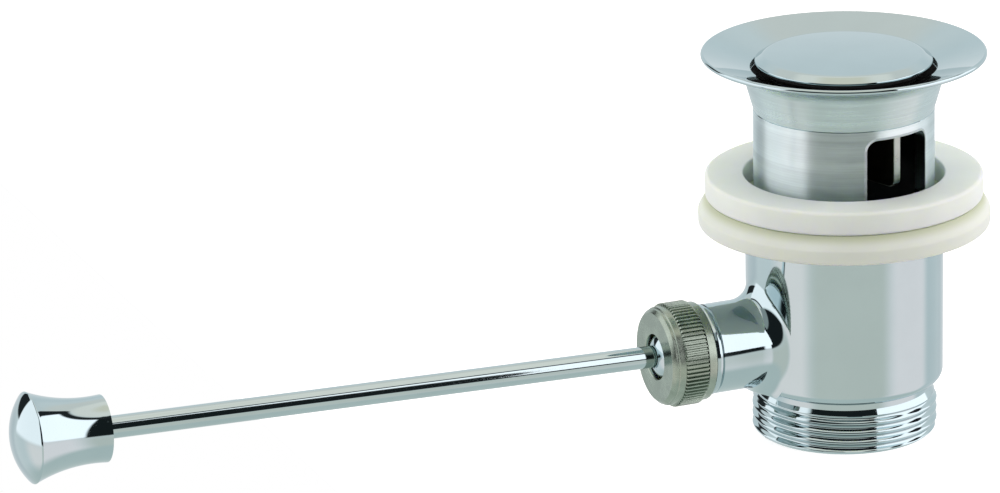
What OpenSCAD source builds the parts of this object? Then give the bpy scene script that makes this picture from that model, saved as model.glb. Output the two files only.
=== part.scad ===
// Pop up basin waste with a side lever: a flanged tail with overflow windows, a lifting plug,
// two clamping washers, a cast lower body and a ball-jointed lever rod with a flared knob.
// Origin on the axis at the flange's seat plane, +Z up out of the drain, lever along -X.

/* [Flange] */
// Outside diameter of the flange
flange_d = 64; // [58:0.5:72]
// Thickness of the flange at its rim
rim_t = 1.2; // [0.8:0.1:2]
// Width of the flat ring under the rim that sits on the basin
seat_w = 1; // [0.6:0.1:2]
// Slope of the flange's underside
underside_slope = 22; // [18:1:28]
// Drop of the dished top from the rim to the edge of the recess
dish_depth = 3.5; // [2.5:0.1:4.5]
// Height of the recess's straight wall above the valve seat
recess_h = 1.5; // [1:0.1:3]

/* [Tail] */
// Outside diameter of the tail and of its thread
tail_d = 40.7; // [38:0.1:44]
// Wall of the tail
tail_wall = 3.15; // [2.5:0.05:4]
// Depth below the seat plane at which the tail's cone ends
cone_depth = 11.8; // [10:0.1:14]
// Slope of the cone from the tail's axis
cone_slope = 16; // [12:0.5:20]
// Radius of the blend between the flange and the cone
flange_blend_r = 4; // [2:0.5:5]
// Length of the tail that screws into the body
tail_grip = 11.5; // [8:0.5:14]
// Width of an overflow window
window_w = 16.5; // [12:0.5:20]
// Height of an overflow window
window_h = 17; // [12:0.5:20]
// Depth of a window's top edge below the seat plane
window_depth = 14.2; // [13:0.1:16]
// Radius of a window's corners
window_r = 2.4; // [1:0.1:4]
// Direction of the front window about the axis
window_turn = -77; // [-180:1:180]

/* [Washers] */
// Room for the basin between the flange's seat and the upper washer at rest
clamp_room = 27; // [22:0.5:34]
// Diameter of the upper washer
upper_washer_d = 62.6; // [58:0.2:68]
// Thickness of the upper washer
upper_washer_t = 5.4; // [4:0.1:7]
// Radial room between the upper washer and the tail
upper_washer_room = 2.3; // [1.6:0.1:3]
// Widest diameter of the lower washer
lower_washer_d = 65.8; // [60:0.2:70]
// Thickness of the lower washer
lower_washer_t = 6.4; // [5:0.1:8]
// Height of the lower washer's widest part above its underside
lower_washer_wide_at = 3; // [1.5:0.1:3.5]
// Inward lean of the lower washer's side, from its widest part to its top
lower_washer_lean = 1.7; // [0.5:0.1:2.5]
// Radial room between the lower washer and the tail
lower_washer_room = 0.85; // [0.6:0.05:1.2]

/* [Body] */
// Wall of the body around the tail's thread
socket_wall = 1.93; // [1.7:0.01:3]
// Height of the body from its top rim to the outlet thread's shoulder
body_h = 36.8; // [36:0.1:42]
// Radius of the rounded shoulder above the outlet thread
shoulder_r = 2.6; // [2:0.1:3.4]
// Major diameter of the outlet thread, a G 1 1/4 pipe thread
outlet_thread_d = 41.91; // [40:0.01:42]
// Length of the outlet thread with its relief neck
outlet_thread_l = 12; // [10:0.5:16]
// Wall of the outlet below its thread's crests
outlet_wall = 3.45; // [2.8:0.05:4.5]
// Length of the relief neck
neck_l = 1.8; // [1:0.1:2.5]
// Depth of the relief neck below the thread's crests
neck_depth = 1.35; // [0.8:0.05:1.6]

/* [Arm] */
// Diameter of the lever arm cast on the body
arm_d = 20.3; // [19:0.1:22]
// Drop from the body's top rim to the arm's axis
arm_drop = 25.5; // [25:0.1:28]
// Distance from the body's axis to the arm's shoulder
arm_reach = 34.9; // [33:0.1:38]
// Radius of the cast blend between the arm and the body
arm_blend_r = 5; // [3:0.5:6]
// Diameter of the passage for the lever
passage_d = 13.6; // [13:0.1:14]
// Diameter of the arm's thread under the gland nut
gland_thread_d = 19.2; // [18.8:0.1:20]
// Length of the arm's thread under the gland nut
gland_thread_l = 8.5; // [8:0.1:9]

/* [Ball joint] */
// Diameter of the pivot ball
ball_d = 13; // [12.6:0.1:13.2]
// Distance from the arm's shoulder out to the ball's centre
ball_out = 4.8; // [4.6:0.1:5]
// Thickness of the inner ball seat
inner_seat_t = 3; // [2.6:0.1:3.2]
// Thickness of the outer ball seat
outer_seat_t = 2; // [1.6:0.1:2.2]
// Diameter of the hole through both ball seats
seat_hole_d = 10.4; // [10:0.1:10.8]
// Wall of the ball seats at their rims
seat_wall = 1.05; // [0.9:0.05:1.1]
// Straight part of the inner seat's hole, behind its hollow
seat_land = 1; // [0.6:0.1:1.2]

/* [Gland nut] */
// Diameter of the gland nut over its knurl
nut_d = 23.5; // [23:0.1:26]
// Length of the gland nut
nut_l = 11.6; // [11.4:0.1:12]
// Length of the knurled band
knurl_l = 5.7; // [4:0.1:6.5]
// Length of the smooth rear band
nut_rear_l = 3.4; // [2.5:0.1:3.6]
// Number of ridges round the knurl
knurl_count = 72; // [48:2:90]
// Depth of the knurl's grooves
knurl_depth = 0.45; // [0.3:0.05:0.6]
// Step from the knurl down to the smooth bands
nut_step = 0.6; // [0.5:0.05:0.7]
// Width of the nut's rounded front edge
nut_edge = 1.3; // [0.8:0.1:1.6]
// Wall of the nut's front
nut_wall = 2.5; // [2.3:0.1:2.7]
// Diameter of the hole for the rod in the nut's front
nut_hole_d = 10.3; // [10:0.1:11]

/* [Lever] */
// Diameter of the lever rod
rod_d = 5; // [4.5:0.1:5.5]
// Length of the rod from the ball's centre to the knob
lever_reach = 137; // [90:1:180]
// Length of the rod past the body's axis
rod_tip_over = 4; // [3:0.5:6]
// Tilt of the lever as shown, with the knob raised
rest_tilt = 1.56; // [0:0.01:3]

/* [Knob] */
// Diameter of the knob's flared rim
knob_d = 20.1; // [18:0.1:24]
// Diameter of the knob's waist
knob_waist_d = 14.5; // [13:0.1:16]
// Length from the knob's rod side to its rim
knob_l = 16.8; // [14:0.1:22]
// Distance of the waist from the knob's rod side
knob_waist_at = 3.4; // [2:0.1:5]
// Height of the knob's domed end
knob_dome = 3.8; // [2.5:0.1:5]
// Depth of the socket that takes the rod
knob_socket = 12; // [8:0.5:14]

/* [Plug] */
// Diameter of the plug's cap
cap_d = 39.8; // [38:0.1:41]
// Thickness of the cap at its edge
cap_t = 1.7; // [1.4:0.1:2.2]
// Rise of the cap's crown above its edge
cap_crown = 0.6; // [0.3:0.1:1]
// Drop of the cap's edge below the flange's rim as shown
cap_drop = 0.8; // [0.5:0.1:1]
// Radial gap between the cap and the recess
recess_gap = 1; // [0.6:0.1:1.4]
// Overhang of the cap past the rubber seal
seal_inset = 1.1; // [0.9:0.1:2]
// Thickness of the rubber seal
seal_t = 2; // [1.5:0.1:2.2]
// Thickness of the guide's top plate
plate_t = 1.5; // [1:0.1:2]
// Length of the guide's vanes below its plate
vane_l = 22; // [18:0.5:24]
// Thickness of a vane
vane_t = 1.7; // [1.4:0.1:2.2]
// Number of vanes
vane_count = 4; // [3:1:6]
// Direction of the first vane about the axis
vane_turn = -70.7; // [-180:0.1:180]
// Radius of the vanes' lower corners
vane_r = 3; // [1:0.5:5]
// Diameter of the guide's hub
hub_d = 10; // [9:0.5:12]
// Length of the hub below the plate
hub_l = 29; // [26:0.5:30]
// Diameter of the cap's stud and of the adjusting screw
stem_d = 6; // [5:0.5:7]
// Length of the cap's stud
stud_l = 12; // [8:0.5:14]
// Length of the adjusting screw that sits in the hub
screw_grip = 12; // [8:0.5:14]
// Width across the flats of the lock nut
lock_nut_w = 10; // [9:0.5:12]
// Thickness of the lock nut
lock_nut_t = 5; // [4:0.5:6]

/* [Clearances] */
// Radial room in a threaded or turning fit
thread_room = 0.06; // [0.02:0.01:0.1]
// Room round a pressed or screwed rod
rod_room = 0.02; // [0.01:0.01:0.05]
// Room between the ball and its seats
ball_room = 0.08; // [0.03:0.01:0.1]
// Room between the seats and the nut, and between the nut and the arm's shoulder
gland_room = 0.1; // [0.05:0.05:0.2]
// Room between the vanes and the tail's bore
vane_room = 0.3; // [0.2:0.05:0.6]
// Room between the adjusting screw and the rod
foot_room = 0.4; // [0.3:0.05:0.6]
// Room below the tail's end in the body
tail_room = 0.5; // [0.2:0.1:1]

/* [Hidden] */
$fn = 96;

// Steps in each quarter or shorter arc of a turned outline
arc_steps = 10;
// Chamfer on a thread's first turn and on a tail's end
thread_chamfer = 0.8;
// Rounding on the edges of the washers and of the nut
soft_edge = 0.8;
// Rounding on the cap's edge
cap_edge_r = 0.6;
// How far a cutting solid runs past the face that it cuts
cut_over = 1;

// Radii and heights of the flange and the tail
tail_r = tail_d / 2;
tail_bore_r = tail_r - tail_wall;
rim_r = flange_d / 2 - rim_t / 2;
cap_r = cap_d / 2;
recess_r = cap_r + recess_gap;
recess_z = rim_t - dish_depth;
valve_seat_z = recess_z - recess_h;
throat_z = valve_seat_z - (recess_r - tail_bore_r);

// Heights of the clamped stack and of the body
upper_washer_z = -clamp_room - upper_washer_t;
lower_washer_z = upper_washer_z - lower_washer_t;
body_top_z = lower_washer_z;
body_r = tail_r + thread_room + socket_wall;
shoulder_z = body_top_z - body_h;
outlet_z = shoulder_z - outlet_thread_l;
outlet_r = outlet_thread_d / 2;
outlet_bore_r = outlet_r - outlet_wall;
tail_end_z = body_top_z - tail_grip;

// Places along the arm, measured out from the body's axis
arm_z = body_top_z - arm_drop;
arm_r = arm_d / 2;
ball_r = ball_d / 2;
ball_x = arm_reach + ball_out;
pocket_r = ball_r + ball_room;
seat_r = ball_r + seat_wall;
seat_hole_r = seat_hole_d / 2;
gland_thread_r = gland_thread_d / 2;
nut_rear_x = arm_reach + gland_room;
nut_front_x = nut_rear_x + nut_l;
outer_seat_x = nut_front_x - nut_wall - gland_room;
inner_seat_x = ball_x - sqrt(pow(pocket_r, 2) - pow(seat_hole_r, 2)) - seat_land;
gland_end_x = arm_reach + gland_thread_l;
nut_r = nut_d / 2;
band_r = nut_r - nut_step;

// The lever's rod and the screw that stands on it
rod_r = rod_d / 2;
rod_top_z = arm_z - ball_x * tan(rest_tilt) + rod_r / cos(rest_tilt);
foot_z = rod_top_z + foot_room;

// The plug's heights, from the cap downwards
cap_top_z = rim_t - cap_drop;
cap_under_z = cap_top_z - cap_t;
plate_z = cap_under_z - seal_t;
vane_top_z = plate_z - plate_t;
vane_end_z = vane_top_z - vane_l;
hub_end_z = vane_top_z - hub_l;
seal_r = cap_r - seal_inset;
seal_hole_r = hub_d / 2 + seal_t;
plate_r = tail_bore_r - 2 * vane_room;
stem_r = stem_d / 2;

// Points on an arc about c, from angle a to angle b
function arc(c, r, a, b) = [for (i = [0:arc_steps])
    c + r * [cos(a + (b - a) * i / arc_steps), sin(a + (b - a) * i / arc_steps)]];

// Where two lines in the plane meet, each given by a point and an angle
function meet(p, a, q, b) =
    p + [cos(a), sin(a)] * cross(q - p, [cos(b), sin(b)]) / cross([cos(a), sin(a)], [cos(b), sin(b)]);

// A blend of radius r where a line at angle a bends to the right at p, to a line at angle b
function right_blend(p, a, b, r) =
    arc(p + r / cos((b - a) / 2) * [cos((a + b) / 2 - 90), sin((a + b) / 2 - 90)], r, a + 90, b + 90);

// A turned solid about the body's axis
module turned(outline) rotate_extrude() polygon(outline);

// A turned solid about the arm's axis, with its outline's heights running outwards from the body
module turned_on_arm(outline) translate([0, 0, arm_z]) rotate([0, -90, 0]) turned(outline);

// Places its children on the lever: heights run outwards from the ball's centre along the rod
module on_lever() translate([-ball_x, 0, arm_z]) rotate([0, rest_tilt - 90, 0]) children();

// A round hole or a plain shaft between two heights
module drum(r, z0, z1) translate([0, 0, z0]) cylinder(r = r, h = z1 - z0);

// A round hole along the arm between two distances from the body's axis
module arm_drum(r, x0, x1) translate([0, 0, arm_z]) rotate([0, -90, 0]) drum(r, x0, x1);

// A rectangle with round corners, centred on its width, standing down from y = 0
module window_outline() {
    translate([-window_w / 2, window_r - window_h]) square([window_w, window_h - 2 * window_r]);
    translate([window_r - window_w / 2, -window_h]) square([window_w - 2 * window_r, window_h]);
    for (x = [-1, 1], y = [window_r - window_h, -window_r])
        translate([x * (window_w / 2 - window_r), y]) circle(r = window_r);
}

// The flange and its tail: a dished top, a recess with a valve seat, a cone and a threaded tube
module flange_tail() {
    seat_in = [rim_r - seat_w, 0];
    cone_end = [tail_r, -cone_depth];
    cone_turn = 90 - cone_slope;
    corner = meet(seat_in, underside_slope, cone_end, cone_turn);
    outline = concat(
        [[recess_r, valve_seat_z], [tail_bore_r, throat_z], [tail_bore_r, tail_end_z]],
        [[tail_r - thread_chamfer, tail_end_z], [tail_r, tail_end_z + thread_chamfer], cone_end],
        right_blend(corner, cone_turn, underside_slope, flange_blend_r),
        [seat_in],
        arc([rim_r, rim_t / 2], rim_t / 2, -90, 90),
        [[recess_r, recess_z]]);
    color("silver") difference() {
        turned(outline);
        for (turn = [window_turn, window_turn + 180])
            rotate([0, 0, turn + 90]) translate([0, 0, -window_depth]) rotate([90, 0, 0])
                linear_extrude(tail_r + cut_over) window_outline();
    }
}

// The plug's cap: a crowned disc with a rounded edge and a threaded stud
module plug_cap() {
    flat_r = cap_r - cap_edge_r;
    crown_r = (flat_r * flat_r + cap_crown * cap_crown) / (2 * cap_crown);
    spread = asin(flat_r / crown_r);
    outline = concat(
        [[0, cap_under_z - stud_l], [stem_r, cap_under_z - stud_l], [stem_r, cap_under_z], [cap_r, cap_under_z]],
        arc([flat_r, cap_top_z - cap_edge_r], cap_edge_r, 0, 90 - spread),
        arc([0, cap_top_z + cap_crown - crown_r], crown_r, 90 - spread, 90));
    color("gainsboro") turned(outline);
}

// The rubber ring clamped under the cap, bevelled to meet the valve seat
module plug_seal() {
    bevel = seal_t / 2;
    color("black") turned([[seal_hole_r, plate_z], [seal_r - bevel, plate_z], [seal_r, plate_z + bevel],
        [seal_r, cap_under_z], [seal_hole_r, cap_under_z]]);
}

// One vane of the guide, from the hub out to its tip, with a round lower corner
module vane() {
    tip = tail_bore_r - vane_room;
    outline = concat(
        [[stem_r + 1, vane_top_z + plate_t / 2], [stem_r + 1, vane_end_z], [tip - vane_r, vane_end_z]],
        arc([tip - vane_r, vane_end_z + vane_r], vane_r, -90, 0),
        [[tip, vane_top_z], [plate_r, vane_top_z], [plate_r, vane_top_z + plate_t / 2]]);
    translate([0, vane_t / 2, 0]) rotate([90, 0, 0]) linear_extrude(vane_t) polygon(outline);
}

// The guide: a plate and spacer under the cap, a hub for the stud and the screw, and radial vanes
module plug_guide() {
    color("lightgray") difference() {
        union() {
            drum(seal_hole_r - thread_room, plate_z, cap_under_z);
            drum(plate_r, vane_top_z, plate_z);
            drum(hub_d / 2, hub_end_z, plate_z);
            for (i = [0:vane_count - 1]) rotate([0, 0, vane_turn + i * 360 / vane_count]) vane();
        }
        drum(stem_r + rod_room, hub_end_z - cut_over, cap_under_z + cut_over);
    }
}

// The adjusting screw under the plug, with a domed foot that stands on the lever's inner end
module adjusting_screw() {
    color("darkgray") {
        drum(stem_r, foot_z + stem_r, hub_end_z + screw_grip);
        translate([0, 0, foot_z + stem_r]) sphere(r = stem_r);
    }
}

// The lock nut that holds the adjusting screw in the hub
module lock_nut() {
    color("darkkhaki") difference() {
        translate([0, 0, hub_end_z - lock_nut_t])
            cylinder(d = lock_nut_w / cos(30), h = lock_nut_t, $fn = 6);
        drum(stem_r + rod_room, hub_end_z - lock_nut_t - cut_over, hub_end_z + cut_over);
    }
}

// The upper washer: a flat ring with soft edges
module upper_washer() {
    hole_r = tail_r + upper_washer_room;
    rim = upper_washer_d / 2 - soft_edge;
    outline = concat(
        [[hole_r, upper_washer_z]],
        arc([rim, upper_washer_z + soft_edge], soft_edge, -90, 0),
        arc([rim, -clamp_room - soft_edge], soft_edge, 0, 90),
        [[hole_r, -clamp_room]]);
    color("ivory") turned(outline);
}

// The lower washer: a ring on the body's top rim, whose side swells and then leans in to its top
module lower_washer() {
    hole_r = tail_r + lower_washer_room;
    side_r = lower_washer_d / 2;
    side_h = lower_washer_t - lower_washer_wide_at;
    swell_r = (pow(side_h, 2) + pow(lower_washer_lean, 2)) / (2 * lower_washer_lean);
    color("beige") turned(concat(
        [[hole_r, lower_washer_z]],
        arc([side_r - soft_edge, lower_washer_z + soft_edge], soft_edge, -90, 0),
        arc([side_r - swell_r, lower_washer_z + lower_washer_wide_at], swell_r, 0, asin(side_h / swell_r)),
        [[hole_r, upper_washer_z]]));
}

// The cast blend that rolls round the root of the arm: a ball of the blend's radius touches both
// the arm and the body, and the blend is what is left in the corner behind it
module arm_blend() {
    sides = 48;
    steps = 6;
    bury = 0.25;
    reach = arm_r + arm_blend_r;
    span = body_r + arm_blend_r;
    // Centre of the rolling ball at a turn about the arm
    function centre(turn) =
        let (y = reach * cos(turn))
        [-sqrt(span * span - y * y), y, reach * sin(turn)];
    // Unit directions from the ball to the arm's axis and to the body's axis
    function to_arm(turn) = [0, -cos(turn), -sin(turn)];
    function to_body(turn) = -[centre(turn)[0], centre(turn)[1], 0] / span;
    // A point of the blend's face: k runs from the arm to the body, and both ends are buried
    function face_point(turn, k) =
        let (a = to_arm(turn), b = to_body(turn), whole = acos(a * b), w = whole * k / steps)
        let (u = (a * sin(whole - w) + b * sin(w)) / sin(whole))
        centre(turn) + (arm_blend_r + (k == 0 || k == steps ? bury : 0)) * u;
    // A point inside both castings that closes the blend behind its face
    function root_point(turn) =
        let (p = face_point(turn, steps), q = face_point(turn, 0))
        [p[0] + 2 * bury, q[1] * 0.9, q[2] * 0.9];
    ring = steps + 2;
    points = [for (i = [0:sides - 1], k = [0:ring - 1])
        let (turn = i * 360 / sides) k > steps ? root_point(turn) : face_point(turn, k)];
    faces = [for (i = [0:sides - 1], k = [0:ring - 1], half = [0, 1])
        let (a = i * ring, b = ((i + 1) % sides) * ring, m = (k + 1) % ring)
        half == 0 ? [a + k, a + m, b + m] : [a + k, b + m, b + k]];
    translate([0, 0, arm_z]) polyhedron(points, faces);
}

// The body's outside: a tube, a rounded shoulder, a relief neck and the outlet's plain thread
module body_outside() {
    shoulder_drop = sqrt(pow(shoulder_r, 2) - pow(max(0, outlet_r - body_r + shoulder_r), 2));
    neck_r = outlet_r - neck_depth;
    turned(concat(
        [[0, outlet_z], [outlet_r - thread_chamfer, outlet_z], [outlet_r, outlet_z + thread_chamfer]],
        [[outlet_r, shoulder_z - neck_l], [neck_r, shoulder_z - neck_l], [neck_r, shoulder_z]],
        arc([body_r - shoulder_r, shoulder_z + shoulder_drop], shoulder_r,
            -asin(shoulder_drop / shoulder_r), 0),
        [[body_r, body_top_z - soft_edge / 2], [body_r - soft_edge / 2, body_top_z], [0, body_top_z]]));
}

// The cast lower body: the tail's socket, the lever arm with its gland thread, and the outlet
module waste_body() {
    color("lightsteelblue") difference() {
        union() {
            body_outside();
            arm_drum(arm_r, 0, arm_reach);
            arm_drum(gland_thread_r, 0, gland_end_x);
            difference() {
                arm_blend();
                drum(arm_reach, outlet_z, shoulder_z);
            }
        }
        drum(tail_r + thread_room, tail_end_z - tail_room, body_top_z + cut_over);
        drum(outlet_bore_r, outlet_z - cut_over, body_top_z);
        arm_drum(passage_d / 2, 0, gland_end_x);
        arm_drum(seat_r + thread_room, inner_seat_x, gland_end_x + cut_over);
    }
}

// One ball seat: a ring between two distances along the arm, hollowed to the ball
module ball_seat(x0, x1) {
    difference() {
        arm_drum(seat_r, x0, x1);
        arm_drum(seat_hole_r, x0 - cut_over, x1 + cut_over);
        translate([-ball_x, 0, arm_z]) sphere(r = pocket_r);
    }
}

// The seat behind the ball, on the shoulder in the arm
module inner_ball_seat() color("white") ball_seat(inner_seat_x, inner_seat_x + inner_seat_t);

// The seat in front of the ball, pressed by the gland nut
module outer_ball_seat() color("white") ball_seat(outer_seat_x - outer_seat_t, outer_seat_x);

// The pivot ball on the rod
module pivot_ball() {
    color("gainsboro") on_lever() difference() {
        sphere(r = ball_r);
        drum(rod_r + rod_room, -ball_d, ball_d);
    }
}

// The ridged band of the gland nut
module knurl(h) {
    linear_extrude(h) polygon([for (i = [0:knurl_count - 1], k = [0:3])
        let (turn = (i + [0, 0.3, 0.5, 0.8][k]) * 360 / knurl_count)
        (nut_r - (k < 2 ? 0 : knurl_depth)) * [cos(turn), sin(turn)]]);
}

// The gland nut: a rounded front with the rod's hole, a knurled band and a smooth rear band
module gland_nut() {
    knurl_x = nut_rear_x + nut_rear_l;
    front_in = band_r - nut_edge;
    color("tan") difference() {
        union() {
            turned_on_arm(concat(
                [[0, nut_rear_x], [band_r - soft_edge / 2, nut_rear_x], [band_r, nut_rear_x + soft_edge / 2]],
                [[band_r, nut_front_x - nut_edge]],
                arc([front_in, nut_front_x - nut_edge], nut_edge, 0, 90),
                [[0, nut_front_x]]));
            translate([-knurl_x, 0, arm_z]) rotate([0, -90, 0]) knurl(knurl_l);
        }
        arm_drum(gland_thread_r + thread_room, nut_rear_x - cut_over, nut_front_x - nut_wall);
        arm_drum(nut_hole_d / 2, nut_rear_x, nut_front_x + cut_over);
    }
}

// The lever rod: its inner end is domed and its outer end sits in the knob
module lever_rod() {
    inner = ball_x / cos(rest_tilt) + rod_tip_over;
    color("gainsboro") on_lever() {
        drum(rod_r, -inner, lever_reach + knob_socket - cut_over);
        translate([0, 0, -inner]) sphere(r = rod_r);
    }
}

// The knob: a waisted, flared turning with a domed end
module lever_knob() {
    rim = knob_d / 2;
    waist = knob_waist_d / 2;
    flare = knob_l - knob_waist_at;
    flare_r = (pow(flare, 2) + pow(rim - waist, 2)) / (2 * (rim - waist));
    dome_r = (pow(rim, 2) + pow(knob_dome, 2)) / (2 * knob_dome);
    hollow = [waist + flare_r, lever_reach + knob_waist_at];
    outline = concat(
        [[0, lever_reach]],
        arc(hollow, flare_r, 180 + asin(knob_waist_at / flare_r), 180 - asin(flare / flare_r)),
        arc([0, lever_reach + knob_l + knob_dome - dome_r], dome_r, 90 - asin(rim / dome_r), 90));
    color("gainsboro") on_lever() difference() {
        turned(outline);
        drum(rod_r + rod_room, lever_reach - cut_over, lever_reach + knob_socket);
    }
}

flange_tail();
plug_cap();
plug_seal();
plug_guide();
adjusting_screw();
lock_nut();
upper_washer();
lower_washer();
waste_body();
inner_ball_seat();
outer_ball_seat();
pivot_ball();
gland_nut();
lever_rod();
lever_knob();
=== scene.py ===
"""Looks of a pop up basin waste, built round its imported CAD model.

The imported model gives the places, the bodies and the joints. Each CAD node is stood for by a clean
smooth mesh of the same size, which wears a procedural finish and rides on the node's own body.
"""

import logging
import math
from collections.abc import Callable, Sequence
from dataclasses import dataclass, field
from enum import Enum

import bpy
from mathutils import Matrix, Quaternion, Vector


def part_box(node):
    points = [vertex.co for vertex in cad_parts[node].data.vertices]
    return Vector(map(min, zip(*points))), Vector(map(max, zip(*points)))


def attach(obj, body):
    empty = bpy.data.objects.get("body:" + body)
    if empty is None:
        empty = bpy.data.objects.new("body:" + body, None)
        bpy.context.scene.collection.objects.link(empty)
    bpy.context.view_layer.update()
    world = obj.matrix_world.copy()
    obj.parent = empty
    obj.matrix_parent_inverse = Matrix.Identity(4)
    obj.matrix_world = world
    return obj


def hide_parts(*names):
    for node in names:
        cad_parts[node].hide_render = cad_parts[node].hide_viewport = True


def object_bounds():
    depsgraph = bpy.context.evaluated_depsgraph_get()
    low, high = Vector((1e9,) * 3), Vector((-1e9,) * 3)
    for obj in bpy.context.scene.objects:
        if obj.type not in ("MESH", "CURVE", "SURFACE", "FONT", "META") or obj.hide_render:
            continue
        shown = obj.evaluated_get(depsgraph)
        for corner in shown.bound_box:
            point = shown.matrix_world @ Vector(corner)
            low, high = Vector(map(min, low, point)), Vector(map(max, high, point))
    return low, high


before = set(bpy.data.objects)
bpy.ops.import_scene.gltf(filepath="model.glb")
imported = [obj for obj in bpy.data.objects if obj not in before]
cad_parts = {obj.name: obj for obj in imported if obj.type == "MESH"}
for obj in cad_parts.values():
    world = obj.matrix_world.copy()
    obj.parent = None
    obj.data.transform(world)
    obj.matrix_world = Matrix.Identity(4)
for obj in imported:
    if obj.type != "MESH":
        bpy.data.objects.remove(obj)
CAD_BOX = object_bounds()

LOG = logging.getLogger("basin_waste")

MM = 0.001
WELD = 1e-7
FINE_STEPS = 192
COARSE_STEPS = 96
SMOOTH_ANGLE = math.radians(32.0)
KNURL_ANGLE = math.radians(40.0)
THREAD_ANGLE = math.radians(60.0)
BEVEL_STEPS = 8
LEVEL_ROOM = 0.01 * MM
PHASE_ROOM = 1e-3

Color = tuple[float, float, float]


class Slot(Enum):
    """The record's material slots, one named by each piece; nothing here reads them."""

    CHROME = "chrome"
    SATIN_NICKEL = "satin_nickel"
    MATT_NICKEL = "matt_nickel"
    PLAIN_BRASS = "plain_brass"
    STEEL = "steel"
    CHROMED_STEEL = "chromed_steel"
    BLACK_RUBBER = "black_rubber"
    WHITE_WASHER = "white_washer"
    IVORY_WASHER = "ivory_washer"
    SEAT_PLASTIC = "seat_plastic"


class Carrier(Enum):
    """The bodies that a piece can ride on."""

    ROOT = "root"
    LEVER = "lever"
    PLUG = "plug"
    NUT = "gland_nut"
    LOWER_WASHER = "lower_washer"
    UPPER_WASHER = "upper_washer"


class Side(Enum):
    """The way a milled window faces, in degrees about the tail's axis."""

    FRONT = -77.0
    BACK = 103.0


class Coat(Enum):
    """The flange's finishes, by the number that its faces carry."""

    POLISHED = 0
    TAIL = 1
    BORE = 2
    CONE = 3


@dataclass(frozen=True)
class Extent:
    """The room that a CAD node takes at rest."""

    low: Vector
    high: Vector

    @classmethod
    def of(cls, node: str) -> "Extent":
        """The room of the node of that name."""
        return cls(*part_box(node))

    @property
    def radius(self) -> float:
        """Half the room's width across Y, which is the radius of a turned piece."""
        return (self.high.y - self.low.y) / 2

    @property
    def top(self) -> float:
        """The room's highest level."""
        return self.high.z

    @property
    def bottom(self) -> float:
        """The room's lowest level."""
        return self.low.z


@dataclass(frozen=True)
class Corner:
    """A corner of a turned outline: distance from the axis, height along it, and rounding."""

    out: float
    along: float
    rounding: float = 0.0


@dataclass
class Outline:
    """The line that a lathe tool follows, as points of distance from the axis and height."""

    points: list[tuple[float, float]] = field(default_factory=list)

    @classmethod
    def rounded(cls, corners: Sequence[Corner], steps: int = 6) -> "Outline":
        """Joins corners by straight lines and rounds those that ask for it.

        Args:
            corners: The corners in order, the last one joined to the first.
            steps: Chords in each rounding.

        Returns:
            The outline.
        """
        line = cls()
        for i, corner in enumerate(corners):
            here = Vector((corner.out, corner.along))
            if corner.rounding <= 0:
                line.to(here.x, here.y)
                continue
            before = corners[i - 1]
            after = corners[(i + 1) % len(corners)]
            back = (Vector((before.out, before.along)) - here).normalized()
            on = (Vector((after.out, after.along)) - here).normalized()
            half = back.angle(on) / 2
            hub = here + (back + on).normalized() * (corner.rounding / math.sin(half))
            start = here + back * (corner.rounding / math.tan(half)) - hub
            end = here + on * (corner.rounding / math.tan(half)) - hub
            first = math.atan2(start.y, start.x)
            sweep = math.atan2(start.x * end.y - start.y * end.x, start.dot(end))
            line.arc((hub.x, hub.y), corner.rounding, first, first + sweep, steps)
        return line

    def to(self, out: float, along: float) -> "Outline":
        """Adds one point and returns the outline."""
        self.points.append((out, along))
        return self

    def arc(
        self, hub: tuple[float, float], radius: float, first: float, last: float, steps: int = 8
    ) -> "Outline":
        """Adds the points of an arc.

        Args:
            hub: The arc's centre, as distance from the axis and height.
            radius: The arc's radius.
            first: The angle of its first point, in radians.
            last: The angle of its last point, in radians.
            steps: Chords in the arc.

        Returns:
            The outline.
        """
        for k in range(steps + 1):
            turn = first + (last - first) * k / steps
            self.to(hub[0] + radius * math.cos(turn), hub[1] + radius * math.sin(turn))
        return self


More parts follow.
